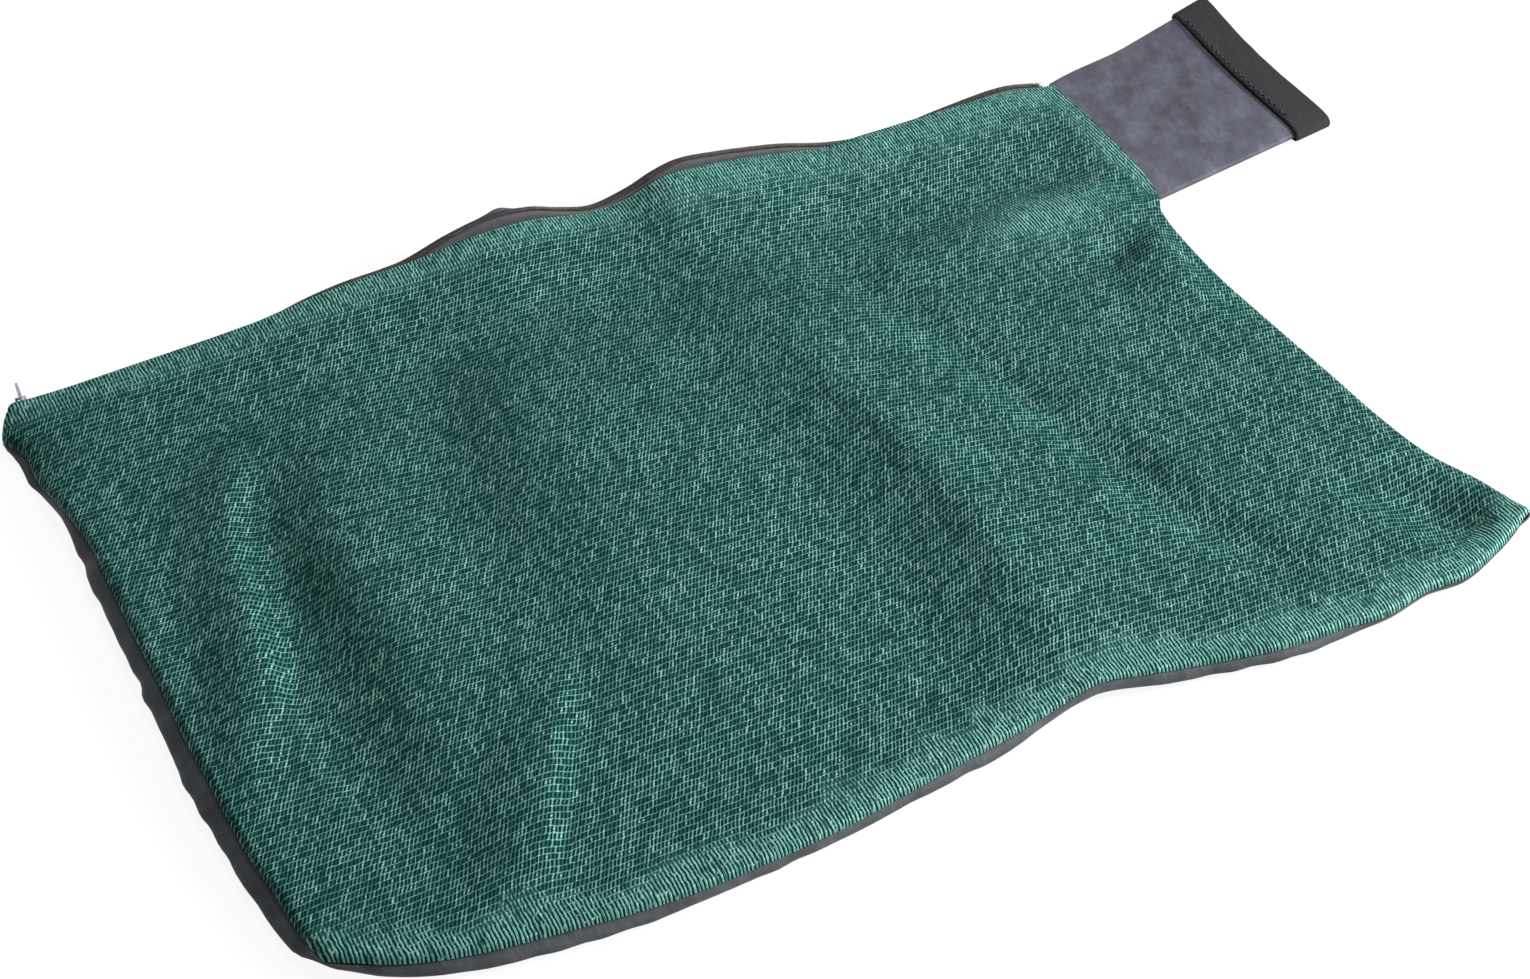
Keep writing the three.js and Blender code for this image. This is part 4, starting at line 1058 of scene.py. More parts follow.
@dataclass(frozen=True)
class WovenMesh(Finish):
    """Knitted plastic ribbon: rows of leaning strokes between thin lines, over dark holes, with
    painted glints and a painted highlight on plain strokes.
    """

    slot: str = "green_mesh"
    row: float = 3.73
    stroke: float = 2.05
    gap: tuple = (10, 46, 45)
    shade: tuple = (36, 88, 84)
    light: tuple = (112, 172, 162)
    # colour of the painted glints on single strokes and on crossings
    painted_glint: tuple = (190, 226, 216)
    gloss: tuple = (190, 255, 245)

    def make(self) -> bpy.types.Material:
        """Makes the material."""
        tree = Tree("green mesh")
        x, y = tree.place()
        sway = tree.noise(tree.vector(x * 0.09, y * 0.09), 3.0)
        drift = tree.noise(tree.vector(x * 0.09, y * 0.09, 7.0), 3.0)
        wobble = tree.noise(tree.vector(x * 0.33, y * 0.33, 3.0), 1.0)
        x2 = x + (sway - 0.5) * 1.8 + (wobble - 0.5) * 1.1
        y2 = y + (drift - 0.5) * 1.6 + (wobble - 0.5) * 0.8
        rows = y2 / self.row
        row, within = rows.floor(), rows.fract()
        strokes = (x2 - within * self.stroke) / self.stroke
        number, part = strokes.floor(), strokes.fract()
        luck = tree.chance(tree.vector(number, row))
        other = tree.chance(tree.vector(number, row, 5.0))
        odd = (number * 0.5).fract() * 2.0
        reach = odd * 0.08 + luck * 0.14 + 0.19
        ribbon = part.from_middle().under(reach * 0.4, reach)
        line = within.from_middle().over(0.34, 0.47)
        glow = tree.noise(tree.vector(x2 * 0.45, row * 3.1), 2.0).over(0.35, 0.65)
        streak = tree.noise(tree.vector(x2 * 0.9, y2 * 0.13), 2.0)
        # Plain strokes, shown where the hem attribute lays a painted highlight
        straight = (x2 / 2.0).fract().from_middle().under(0.1, 0.42)
        straight = straight * (streak * 2.4 - 0.45).at_least(0.0).at_most(1.0)
        knit = (ribbon * (other * 0.5 + 0.25)).at_least(line * (glow * 0.4 + luck * 0.3 + 0.25))
        # The hem attribute marks a painted highlight: plain strokes where the cloth rolls over a
        # seam and catches the light.
        hem = tree.hem()
        grain = tree.noise(tree.vector(x * 1.5, y * 1.5), 2.0, 0.6)
        pattern = tree.blend(hem, knit, straight) * (grain * 1.5 + 0.25).at_most(1.0)
        patch = tree.noise(tree.vector(x * 0.02, y * 0.02), 4.0, 0.6)
        # Painted highlight: the weave is up to 30% brighter where the hem attribute is high.
        value = pattern * (patch * 0.5 + 0.75) * (hem * 0.3 + 1.0)
        colour = tree.mix(value.over(0.0, 0.45), tint(*self.gap), tint(*self.shade))
        colour = tree.mix(value.over(0.3, 0.95), colour, tint(*self.light))
        # Painted glints: random strokes and the crossings of lines and strokes are mixed toward a
        # pale glint colour.
        glint = luck.over(0.9, 0.94) * part.from_middle().under(0.1, 0.3)
        glint = glint * within.from_middle().under(0.1, 0.28)
        knot_glint = line * ribbon * other.over(0.45, 0.95)
        colour = tree.mix((glint * 0.6).at_least(knot_glint * 0.65), colour, tint(*self.painted_glint))
        normal = tree.bump(pattern, 0.2)
        rough = tree.blend(pattern, 0.6, 0.36)
        return tree.finish(Base_Color=colour, Roughness=rough, Normal=normal,
                           Specular_IOR_Level=pattern * 1.1, Specular_Tint=tint(*self.gloss))


@dataclass(frozen=True)
class Nylon(Finish):
    """Closely woven nylon with fine crinkles."""

    slot: str = "grey_nylon"
    dark: tuple = (66, 71, 75)
    light: tuple = (98, 105, 110)
    thread: float = 0.45
    crinkle: float = 0.5

    def make(self) -> bpy.types.Material:
        """Makes the material."""
        tree = Tree(self.slot.replace("_", " "))
        x, y = tree.place()
        across = (x / self.thread).fract().from_middle()
        along = (y / self.thread).fract().from_middle()
        weave = (across + along).over(0.2, 0.9)
        cloud = tree.noise(tree.vector(x * 0.05, y * 0.05), 4.0, 0.6)
        folds = tree.noise(tree.vector(x * 0.16, y * 0.12, 3.0), 3.0, 0.55)
        share = (cloud * 0.7 + folds * 0.3 + weave * 0.14 - 0.12).over(0.3, 0.75)
        colour = tree.mix(share, tint(*self.dark), tint(*self.light))
        normal = tree.bump(weave, 0.05, tree.bump(folds, self.crinkle))
        return tree.finish(Base_Color=colour, Roughness=0.62, Normal=normal,
                           Specular_IOR_Level=0.4, Sheen_Weight=0.04, Sheen_Roughness=0.4)


@dataclass(frozen=True)
class Elastic(Finish):
    """Ribbed elastic, almost black."""

    slot: str = "black_elastic"
    dark: tuple = (30, 30, 32)
    light: tuple = (68, 67, 70)
    rib: float = 1.5

    def make(self) -> bpy.types.Material:
        """Makes the material."""
        tree = Tree("black elastic")
        x, y = tree.place()
        wobble = tree.noise(tree.vector(x * 0.3, y * 0.3), 2.0)
        rib = ((x + wobble * 0.5) / self.rib).fract().from_middle().under(0.12, 0.46)
        knit = ((y + wobble * 0.6) / 0.8).fract().from_middle().under(0.1, 0.48)
        fuzz = tree.noise(tree.vector(x * 1.4, y * 1.4), 3.0, 0.7)
        value = (rib * 0.45 + knit * 0.2 + fuzz * 0.5).over(0.2, 1.0)
        colour = tree.mix(value, tint(*self.dark), tint(*self.light))
        normal = tree.bump(rib * 0.7 + knit * 0.3, 0.3)
        return tree.finish(Base_Color=colour, Roughness=0.9, Normal=normal,
                           Specular_IOR_Level=0.15)


@dataclass(frozen=True)
class Tape(Finish):
    """Woven zip tape with a fine herringbone."""

    slot: str = "zip_tape"
    dark: tuple = (56, 55, 59)
    light: tuple = (98, 97, 103)

    def make(self) -> bpy.types.Material:
        """Makes the material."""
        tree = Tree("zip tape")
        x, y = tree.place()
        zigzag = (y / 2.6).fract().from_middle() * 2.6
        rib = ((x + zigzag) / 0.8).fract().from_middle().under(0.1, 0.45)
        cloud = tree.noise(tree.vector(x * 0.2, y * 0.5), 3.0)
        value = (rib * 0.5 + cloud * 0.5).over(0.2, 0.8)
        colour = tree.mix(value, tint(*self.dark), tint(*self.light))
        return tree.finish(Base_Color=colour, Roughness=0.85, Normal=tree.bump(rib, 0.12),
                           Specular_IOR_Level=0.3, Sheen_Weight=0.15)


@dataclass(frozen=True)
class Coil(Finish):
    """Smooth plastic wire of the zip's teeth, with slight scuffs."""

    slot: str = "zip_coil"
    dark: tuple = (70, 64, 66)
    light: tuple = (124, 116, 118)

    def make(self) -> bpy.types.Material:
        """Makes the material."""
        tree = Tree("zip coil")
        spot = tree.vector(*(part * 0.35 for part in tree.spot()))
        scuff = tree.noise(spot, 4.0, 0.6)
        colour = tree.mix(scuff.over(0.3, 0.75), tint(*self.dark), tint(*self.light))
        rough = tree.blend(scuff, 0.3, 0.55)
        return tree.finish(Base_Color=colour, Roughness=rough, Normal=tree.bump(scuff, 0.04),
                           Specular_IOR_Level=0.5)


@dataclass(frozen=True)
class Metal(Finish):
    """Light cast metal with fine scratches."""

    slot: str = "zip_metal"
    dark: tuple = (186, 183, 196)
    light: tuple = (228, 225, 238)

    def make(self) -> bpy.types.Material:
        """Makes the material."""
        tree = Tree("zip metal")
        x, y, z = tree.spot()
        scratch = tree.noise(tree.vector(x * 0.4, y * 3.0, z * 0.4), 4.0, 0.65)
        blotch = tree.noise(tree.vector(x * 0.5, y * 0.5, z * 0.5), 2.0)
        share = (scratch * 0.4 + blotch * 0.6).over(0.3, 0.7)
        colour = tree.mix(share, tint(*self.dark), tint(*self.light))
        rough = tree.blend(scratch, 0.28, 0.5)
        return tree.finish(Base_Color=colour, Roughness=rough, Metallic=0.3,
                           Normal=tree.bump(scratch, 0.03))


@dataclass(frozen=True)
class Thread(Finish):
    """Twisted sewing thread."""

    slot: str = "dark_thread"
    dark: tuple = (26, 28, 31)
    light: tuple = (62, 64, 69)
    ply: float = 0.9

    def make(self) -> bpy.types.Material:
        """Makes the material."""
        tree = Tree("dark thread")
        x, y, z = tree.spot()
        twist = ((x + y + z * 1.5) / self.ply).fract().from_middle().under(0.1, 0.45)
        fuzz = tree.noise(tree.vector(x * 2.0, y * 2.0, z * 2.0), 2.0)
        value = (twist * 0.7 + fuzz * 0.4).over(0.15, 1.0)
        colour = tree.mix(value, tint(*self.dark), tint(*self.light))
        return tree.finish(Base_Color=colour, Roughness=0.7, Normal=tree.bump(twist, 0.12),
                           Sheen_Weight=0.1)


GREEN_MESH = WovenMesh()
GREY_NYLON = Nylon()
SLATE_NYLON = Nylon("slate_nylon", dark=(68, 69, 82), light=(104, 105, 119), crinkle=0.7)
BLACK_ELASTIC = Elastic()
ZIP_TAPE = Tape()
ZIP_COIL = Coil()
ZIP_METAL = Metal()
DARK_THREAD = Thread()


def dress(piece: bpy.types.Object, finish: Finish, body: Body, *nodes: str) -> bpy.types.Object:
    """Gives a piece its finish and its body, and hides the drawn solids that it stands for.

    Args:
        piece: the piece, with its mesh final.
        finish: the finish that it wears.
        body: the body that it rides on.
        nodes: the drawn solids that it stands for.

    Returns:
        The piece.
    """
    piece.data.materials.clear()
    piece.data.materials.append(finish.material)
    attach(piece, body.value)
    if nodes:
        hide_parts(*nodes)
    log.info("%s: %d faces, rides on %s", piece.name, len(piece.data.polygons), body.value)
    return piece


@dataclass
class Panels:
    """The two panels: green mesh above, grey nylon below."""

    lie: Lie
    seam_turn: float = 9
    hem_turn: float = 8
    fold_out: float = 0.5
    mesh_columns: int = 222
    mesh_rows: int = 148
    nylon_columns: int = 170
    nylon_rows: int = 96
    wall_allowance: float = 20  # cloth that the nylon panel's walls take up across the bag
    highlight_strip: float = 17  # strip beside the near and far hems where plain strokes show with a painted highlight
    far_widening: float = 18  # how much wider that strip gets at the far hem
    widening_run: tuple = (330, 420)  # where along the bag it widens
    highlight_patch_place: tuple = (590, 350)  # middle of the patch of strokes with a painted highlight near the neck
    highlight_patch_reach: tuple = (42, 26)

    def edge(self, line: Array, values: Array, low: float, high: float) -> Array:
        """Returns the numbers of an edge's points between two shares."""
        return line[(values >= low) & (values <= high)]

    def strokes(self, x: Array, y: Array) -> Array:
        """Finds where the mesh shows plain strokes with a painted highlight: at its hems, beside
        the neck and at one patch.

        Args:
            x: places along the bag.
            y: places from near to far.

        Returns:
            How much it shows them at each place, from 0 to 1.
        """
        gap = self.lie.gaps(x, y, self.lie.hem_y)
        ragged = Ripple(31, 11, 30)
        strip = self.highlight_strip * (1 + 0.55 * ragged(x, y))
        near = 1 - smoothstep(gap["near"], 0.4 * strip, 1.5 * strip)
        wide = self.far_widening * smoothstep(x, *self.widening_run)
        far = 0.8 * (1 - smoothstep(gap["far"], 8, 8 + strip + wide))
        neck = self.lie.neck_share(y) * 0.8 * (1 - smoothstep(gap["right"], 4, 4 + strip))
        (patch_x, patch_y), (reach_x, reach_y) = self.highlight_patch_place, self.highlight_patch_reach
        patch = np.exp(-(((x - patch_x) / reach_x) ** 2) - ((y - patch_y) / reach_y) ** 2)
        patch = patch * (1 + 0.4 * ragged(y, x))
        return np.clip(np.maximum.reduce([near, far, neck, patch]), 0, 1)

    def field(self, columns: int, rows: int, far_y: Line) -> tuple[Array, Array, Array, Array]:
        """Lays out places all over a panel.

        Args:
            columns: even steps along it.
            rows: even steps across it.
            far_y: line of its far edge.

        Returns:
            The shares along and across, and X and Y of each place.
        """
        u = shares(columns, self.lie.length, EDGE_STEPS)
        v = shares(rows, self.lie.width, EDGE_STEPS)
        x, y = self.lie.place(u[None, :] + 0 * v[:, None], v[:, None] + 0 * u[None, :], far_y)
        return u, v, x, y

    def turned(self, sheet: Sheet, edge: Array, move: Sequence[float], hem: float = 0) -> Array:
        """Adds a row turned in from an edge.

        Args:
            sheet: the cloth.
            edge: points of the edge.
            move: way from the edge to the row.
            hem: how much the weave shows plain strokes with a painted highlight there.

        Returns:
            Numbers of the row's points.
        """
        moved = edge + move
        return sheet.row(moved, moved[:, :2], hem=hem)

    def turn_seams(self, sheet: Sheet, flat: Array, edges: Sequence[Array], hem: float = 0) -> None:
        """Turns in the near, left and shoulder edges, which are sewn to the other panel.

        Args:
            sheet: the cloth.
            flat: points of the panel.
            edges: numbers of the three edges' points.
            hem: how much the weave shows plain strokes with a painted highlight there.
        """
        near, left, shoulder = edges
        sheet.join(self.turned(sheet, flat[near], (0, self.seam_turn, 0), hem), near)
        sheet.join(left, self.turned(sheet, flat[left], (self.seam_turn, 0, 0), hem))
        sheet.join(self.turned(sheet, flat[shoulder], (-self.seam_turn, 0, 0), hem), shoulder)

    def mesh_panel(self) -> bpy.types.Object:
        """Makes the green mesh panel, its edges turned in and its hems folded under."""
        lie, sheet = self.lie, Sheet(self.lie.cloth)
        u, v, x, y = self.field(self.mesh_columns, self.mesh_rows, lie.hem_y)
        points = np.stack([x, y, lie.mesh_height(x, y)], axis=-1)
        grid = sheet.row(points, points[..., :2], hem=self.strokes(x, y))
        sheet.join_all(grid)
        flat = points.reshape(-1, 3)
        trim_u, trim_v = lie.trim
        near = self.edge(grid[0], u, trim_u, 1 - trim_u)
        left = self.edge(grid[:, 0], v, trim_v, 1 - trim_v)
        shoulder = self.edge(grid[:, -1], v, trim_v, lie.neck_start - trim_v)
        self.turn_seams(sheet, flat, (near, left, shoulder), hem=1)
        far = self.edge(grid[-1], u, trim_u, 1 - trim_u)
        neck = self.edge(grid[:, -1], v, lie.neck_start + trim_v, 1 - trim_v)
        self.fold_under(sheet, far, flat[far], np.array([0, 1]), flip=False)
        self.fold_under(sheet, neck, flat[neck], np.array([1, 0]), flip=True)
        piece = dress(sheet.piece("mesh_cloth"), GREEN_MESH, Body.BAG, "upper_panel")
        return piece

    def fold_under(self, sheet: Sheet, line: Array, edge: Array, out: Array, flip: bool) -> None:
        """Folds an edge of the mesh panel right under itself.

        Args:
            sheet: the cloth.
            line: numbers of the edge's points.
            edge: the edge's points.
            out: way out of the panel.
            flip: True where the edge runs up the right side.
        """
        drop = self.lie.layer / 2
        rows = [line]
        for angle in HEM_ANGLES:
            turn = math.radians(angle)
            move = [*(out * self.fold_out * math.sin(turn)), -drop * (1 - math.cos(turn))]
            moved = edge + move
            rows.append(sheet.row(moved, edge[:, :2] + out * 0.9 * math.sin(turn / 2), hem=1))
        for distance in (self.hem_turn / 2, self.hem_turn):
            inner = edge[:, :2] - out * distance
            z = self.lie.mesh_height(inner[:, 0], inner[:, 1]) - self.lie.layer
            rows.append(sheet.row(np.column_stack([inner, z]), inner, hem=1))
        for low, high in zip(rows[:-1], rows[1:]):
            sheet.join(*((high, low) if flip else (low, high)))

    def nylon_panel(self) -> bpy.types.Object:
        """Makes the nylon panel, with walls that rise to the seams."""
        lie, sheet = self.lie, Sheet(self.lie.cloth)
        u, v, x, y = self.field(self.nylon_columns, self.nylon_rows, lie.wall_y)
        points = lie.nylon_point(x, y)
        grid = sheet.row(points, np.stack([x, y], axis=-1))
        sheet.join_all(grid)
        flat = points.reshape(-1, 3)
        trim_u, trim_v = lie.trim
        near = self.edge(grid[0], u, trim_u, 1 - trim_u)
        far = self.edge(grid[-1], u, trim_u, 1 - trim_u)
        left = self.edge(grid[:, 0], v, trim_v, 1 - 2.4 * trim_v)
        shoulder = self.edge(grid[:, -1], v, trim_v, lie.neck_start - 2 * trim_v)
        neck = self.edge(grid[:, -1], v, lie.neck_start + trim_v, 1 - 2 * trim_v)
        self.turn_seams(sheet, flat, (near, left, shoulder))
        sheet.join(far, self.turned(sheet, flat[far], (0, -self.hem_turn, 0)))
        rows = [neck]
        for angle in HEM_ANGLES:
            turn = math.radians(angle)
            rise = lie.layer / 2 * (1 - math.cos(turn))
            move = (self.fold_out * math.sin(turn), 0, rise)
            rows.append(self.turned(sheet, flat[neck], move))
        rows.append(self.turned(sheet, flat[neck], (-self.hem_turn, 0, lie.layer)))
        for low, high in zip(rows[:-1], rows[1:]):
            sheet.join(high, low)
        piece = dress(sheet.piece("nylon_cloth"), GREY_NYLON, Body.BAG, "lower_panel")
        width = lie.width + self.seam_turn + self.hem_turn + self.wall_allowance
        size = (lie.length + 2 * self.seam_turn, width)
        size[0] * MM
        size[1] * MM
        return piece


@dataclass
class Neck:
    """Nylon sleeve and elastic cuff that go over the machine's outlet."""

    lie: Lie
    past_hem: float = 4
    sleeve_length: float = 131.5
    cuff_length: float = 30
    cuff_lap: float = 11
    cuff_span: float = 153
    cuff_thickness: float = 1.9
    swing: float = 13.8
    mouth_angle: float = 85.5
    side_fold: float = 3
    mouth_height: float = 7.8
    mouth_sag: float = 8
    ripple_height: float = 1.1
    ripple_length: float = 11
    lap_trim: float = 0.1
    hem_turn: float = 8
    fold_out: float = 0.5
    side_spread: float = 1.6
    side_play: float = 0.9
    steps: int = 44  # across the neck, for each of its two faces
    wrinkle: float = 1.5
    lower_run: float = 0.75  # share of the sleeve over which its lower face comes down
    upper_run: tuple = (6, 75)  # distances from the seam over which its upper face does
    ripple_span: tuple = (4, 30, 60, 105)  # where the folds across it come and go
    wrinkle_span: tuple = (6, 20, 88, 112)  # where its small wrinkles do
    taper: float = 0.84  # the flat sleeve's area over that of its rectangle: it narrows to the bag
    cuff_ease: float = 12  # how much longer the cuff's flat round is than twice its span
    cuff_wave: float = 0.5

    @property
    def reach(self) -> float:
        """Distance from the seam to the mouth."""
        return self.sleeve_length - self.cuff_lap + self.cuff_length

    @property
    def cuff_offset(self) -> float:
        """Distance from the sleeve's middle surface to the cuff's."""
        return self.lie.cloth / 2 + self.lie.clearance + self.cuff_thickness / 2

    @property
    def mouth_way(self) -> Array:
        """Way along the mouth, away from the shoulder."""
        turn = math.radians(self.mouth_angle)
        return np.array([math.cos(turn), math.sin(turn)])

    def neck_y(self, across: Array) -> Array:
        """Returns Y on the right edge of the bag."""
        return lerp(self.lie.neck_from, self.lie.right_width + self.past_hem, across)

    def place(self, along: Array, across: Array) -> Array:
        """Finds places on the neck as seen from above.

        Args:
            along: distances from the seam.
            across: shares of the way across the neck.

        Returns:
            X and Y of each place.
        """
        turn = math.radians(self.swing)
        way = np.array([math.cos(turn), math.sin(turn)])
        middle_y = self.neck_y(np.array(0.5))
        mouth = np.array([self.lie.right_x(middle_y), middle_y]) + way * self.reach
        sag = self.mouth_sag * np.sin(np.pi * across)[..., None]
        end = mouth + self.mouth_way * (across - 0.5)[..., None] * self.cuff_span - way * sag
        y = self.neck_y(across)
        start = np.stack([self.lie.right_x(y), y], axis=-1)
        return lerp(start, end, (along / self.reach)[..., None])

    def low(self, along: Array, across: Array) -> Array:
        """Finds how high the sleeve's lower face lies.

        Args:
            along: distances from the seam.
            across: shares of the way across the neck.

        Returns:
            The height at each place.
        """
        seam = self.lie.floor + 2 * self.lie.layer
        mouth = self.cuff_thickness + self.lie.clearance + self.lie.cloth / 2
        share = np.minimum(along / (self.lower_run * self.sleeve_length), 1)
        return lerp(seam, mouth, share) + 0 * across

    def high(self, along: Array, across: Array) -> Array:
        """Finds how high the sleeve's upper face lies, with its wrinkles.

        Args:
            along: distances from the seam.
            across: shares of the way across the neck.

        Returns:
            The height at each place.
        """
        seam = self.lie.seams[2](self.neck_y(across) / self.lie.right_width) - 2 * self.lie.layer
        belly = np.sin(np.pi * np.clip(across, 0, 1)) ** 0.6
        rise = self.side_fold + (self.mouth_height - self.side_fold) * belly
        mouth = self.low(along, across) + rise
        free = between(along, self.ripple_span)
        ripple = np.sin(along / self.ripple_length + 3 * across) * np.sin(np.pi * across)
        height = lerp(seam, mouth, smoothstep(along, *self.upper_run))
        height = height + self.ripple_height * ripple * free
        inner = between(along, self.wrinkle_span) * np.sin(np.pi * across)
        fan = Ripple(12, 34, 15)(along + 40 * across, across * 95 - along * 0.35)
        fine = Ripple(17, 9, 12)(along, across * 130)
        return height + self.wrinkle * inner * (fan + 0.35 * fine)

    def ring(self, along: Array, spread: float, low: Line, high: Line) -> tuple[Array, Array]:
        """Closed rings round the neck: low from the shoulder side, back over the top.

        Args:
            along: distances of the rings from the seam.
            spread: how far the side folds stand out.
            low: height of the lower face.
            high: height of the upper face.

        Returns:
            Points of the rings, and their places on the flat cloth.
        """
        across = np.linspace(0, 1, self.steps + 1)
        a, c = np.meshgrid(along, across, indexing="ij")
        plan = self.place(a, c)
        up = np.concatenate([plan, low(a, c)[..., None]], axis=-1)
        over = np.concatenate([plan, high(a, c)[..., None]], axis=-1)[:, ::-1]
        outward = np.array([*self.mouth_way, 0])

        def swell(start: Array, end: Array, sign: float) -> Array:
            """Rounds a side fold.

            Args:
                start: points that it starts from.
                end: points that it ends at.
                sign: 1 on the far side, -1 on the shoulder side.

            Returns:
                The rows of points between them.
            """
            angles = np.radians([30, 60, 90, 120, 150])
            parts = [lerp(start, end, (1 - math.cos(t)) / 2) + outward * sign * spread * math.sin(t)
                     for t in angles]
            return np.stack(parts, axis=1)

        right, left = swell(up[:, -1], over[:, 0], 1), swell(over[:, -1], up[:, 0], -1)
        points = np.concatenate([up, right, over, left, up[:, :1]], axis=1)
        stride = np.linalg.norm(np.diff(points, axis=1), axis=-1).mean(axis=0)
        round_it = np.concatenate([[0], np.cumsum(stride)])
        along = np.asarray(along)[:, None]
        places = np.stack(np.broadcast_arrays(along, round_it[None, :]), axis=-1)
        return points, places

    def sleeve(self) -> bpy.types.Object:
        """Makes the sleeve, with a lap above and below that is sewn inside the panels."""
        lie, sheet = self.lie, Sheet(self.lie.cloth)
        start = lie.cloth / 2 + self.fold_out + lie.clearance
        along = np.concatenate([[start, 2.6, 4.2, 6], np.linspace(8.5, self.sleeve_length, 56)])
        points, places = self.ring(along, self.side_spread, self.low, self.high)
        rings = sheet.row(points[:, :-1], places[:, :-1])
        closed = np.concatenate([rings, rings[:, :1]], axis=1)
        for first, second in zip(closed[:-1], closed[1:]):
            sheet.join(second, first)
        across = np.linspace(0, 1, self.steps + 1)
        lap = np.flatnonzero((across >= self.lap_trim) & (across <= 1 - self.lap_trim))
        y = self.neck_y(across[lap])
        x = lie.right_x(y)
        low_z = np.full_like(y, lie.floor + 2 * lie.layer)
        under = [rings[0][lap]]
        over = [rings[0][2 * self.steps + 6 - lap][::-1]]
        for distance in (2.5, 5, self.hem_turn):
            row = np.column_stack([x - distance, y, low_z])
            under.append(sheet.row(row, row[:, :2]))
            back_x = (x - distance)[::-1]
            z = lie.mesh_height(back_x, y[::-1]) - 2 * lie.layer
            row = np.column_stack([back_x, y[::-1], z])
            over.append(sheet.row(row, row[:, :2]))
        for rows in (under, over):
            sheet.join_all(rows)
        piece = dress(sheet.piece("sleeve_cloth"), SLATE_NYLON, Body.BAG, "neck_sleeve")
        return piece

    def cuff(self) -> bpy.types.Object:
        """Makes the cuff, a thick elastic band with rounded rims."""
        sheet = Sheet(self.cuff_thickness)
        start = self.reach - self.cuff_length
        rounding = self.cuff_thickness / 2
        ends = rounding * (1 - np.cos(np.radians([0, 25, 50, 70, 90])))
        along = np.concatenate([start + ends, np.linspace(start + 2.5, self.reach - 2.5, 14),
                                self.reach - ends[::-1]])
        swell = np.concatenate([np.sin(np.radians([4, 25, 50, 70, 90])), np.ones(14),
                                np.sin(np.radians([90, 70, 50, 25, 4]))])
        spread = self.side_spread + self.cuff_offset + self.side_play
        wave = Ripple(8, 5, 9)

        def high(a: Array, c: Array) -> Array:
            """Height of the cuff's upper face."""
            lift = self.cuff_wave * np.sin(np.pi * c) * (1 + wave(a, c * 150)) / 2
            return self.high(a, c) + self.cuff_offset + lift

        low = lambda a, c: self.low(a, c) - self.cuff_offset
        points, places = self.ring(along, spread, low, high)
        rows = [sheet.row(p, q, swell=s) for p, q, s in zip(points[:, :-1], places[:, :-1], swell)]
        closed = [np.append(row, row[0]) for row in rows]
        for first, second in zip(closed[:-1], closed[1:]):
            sheet.join(second, first)
        piece = dress(sheet.piece("cuff_band"), BLACK_ELASTIC, Body.BAG, "neck_cuff")
        return piece


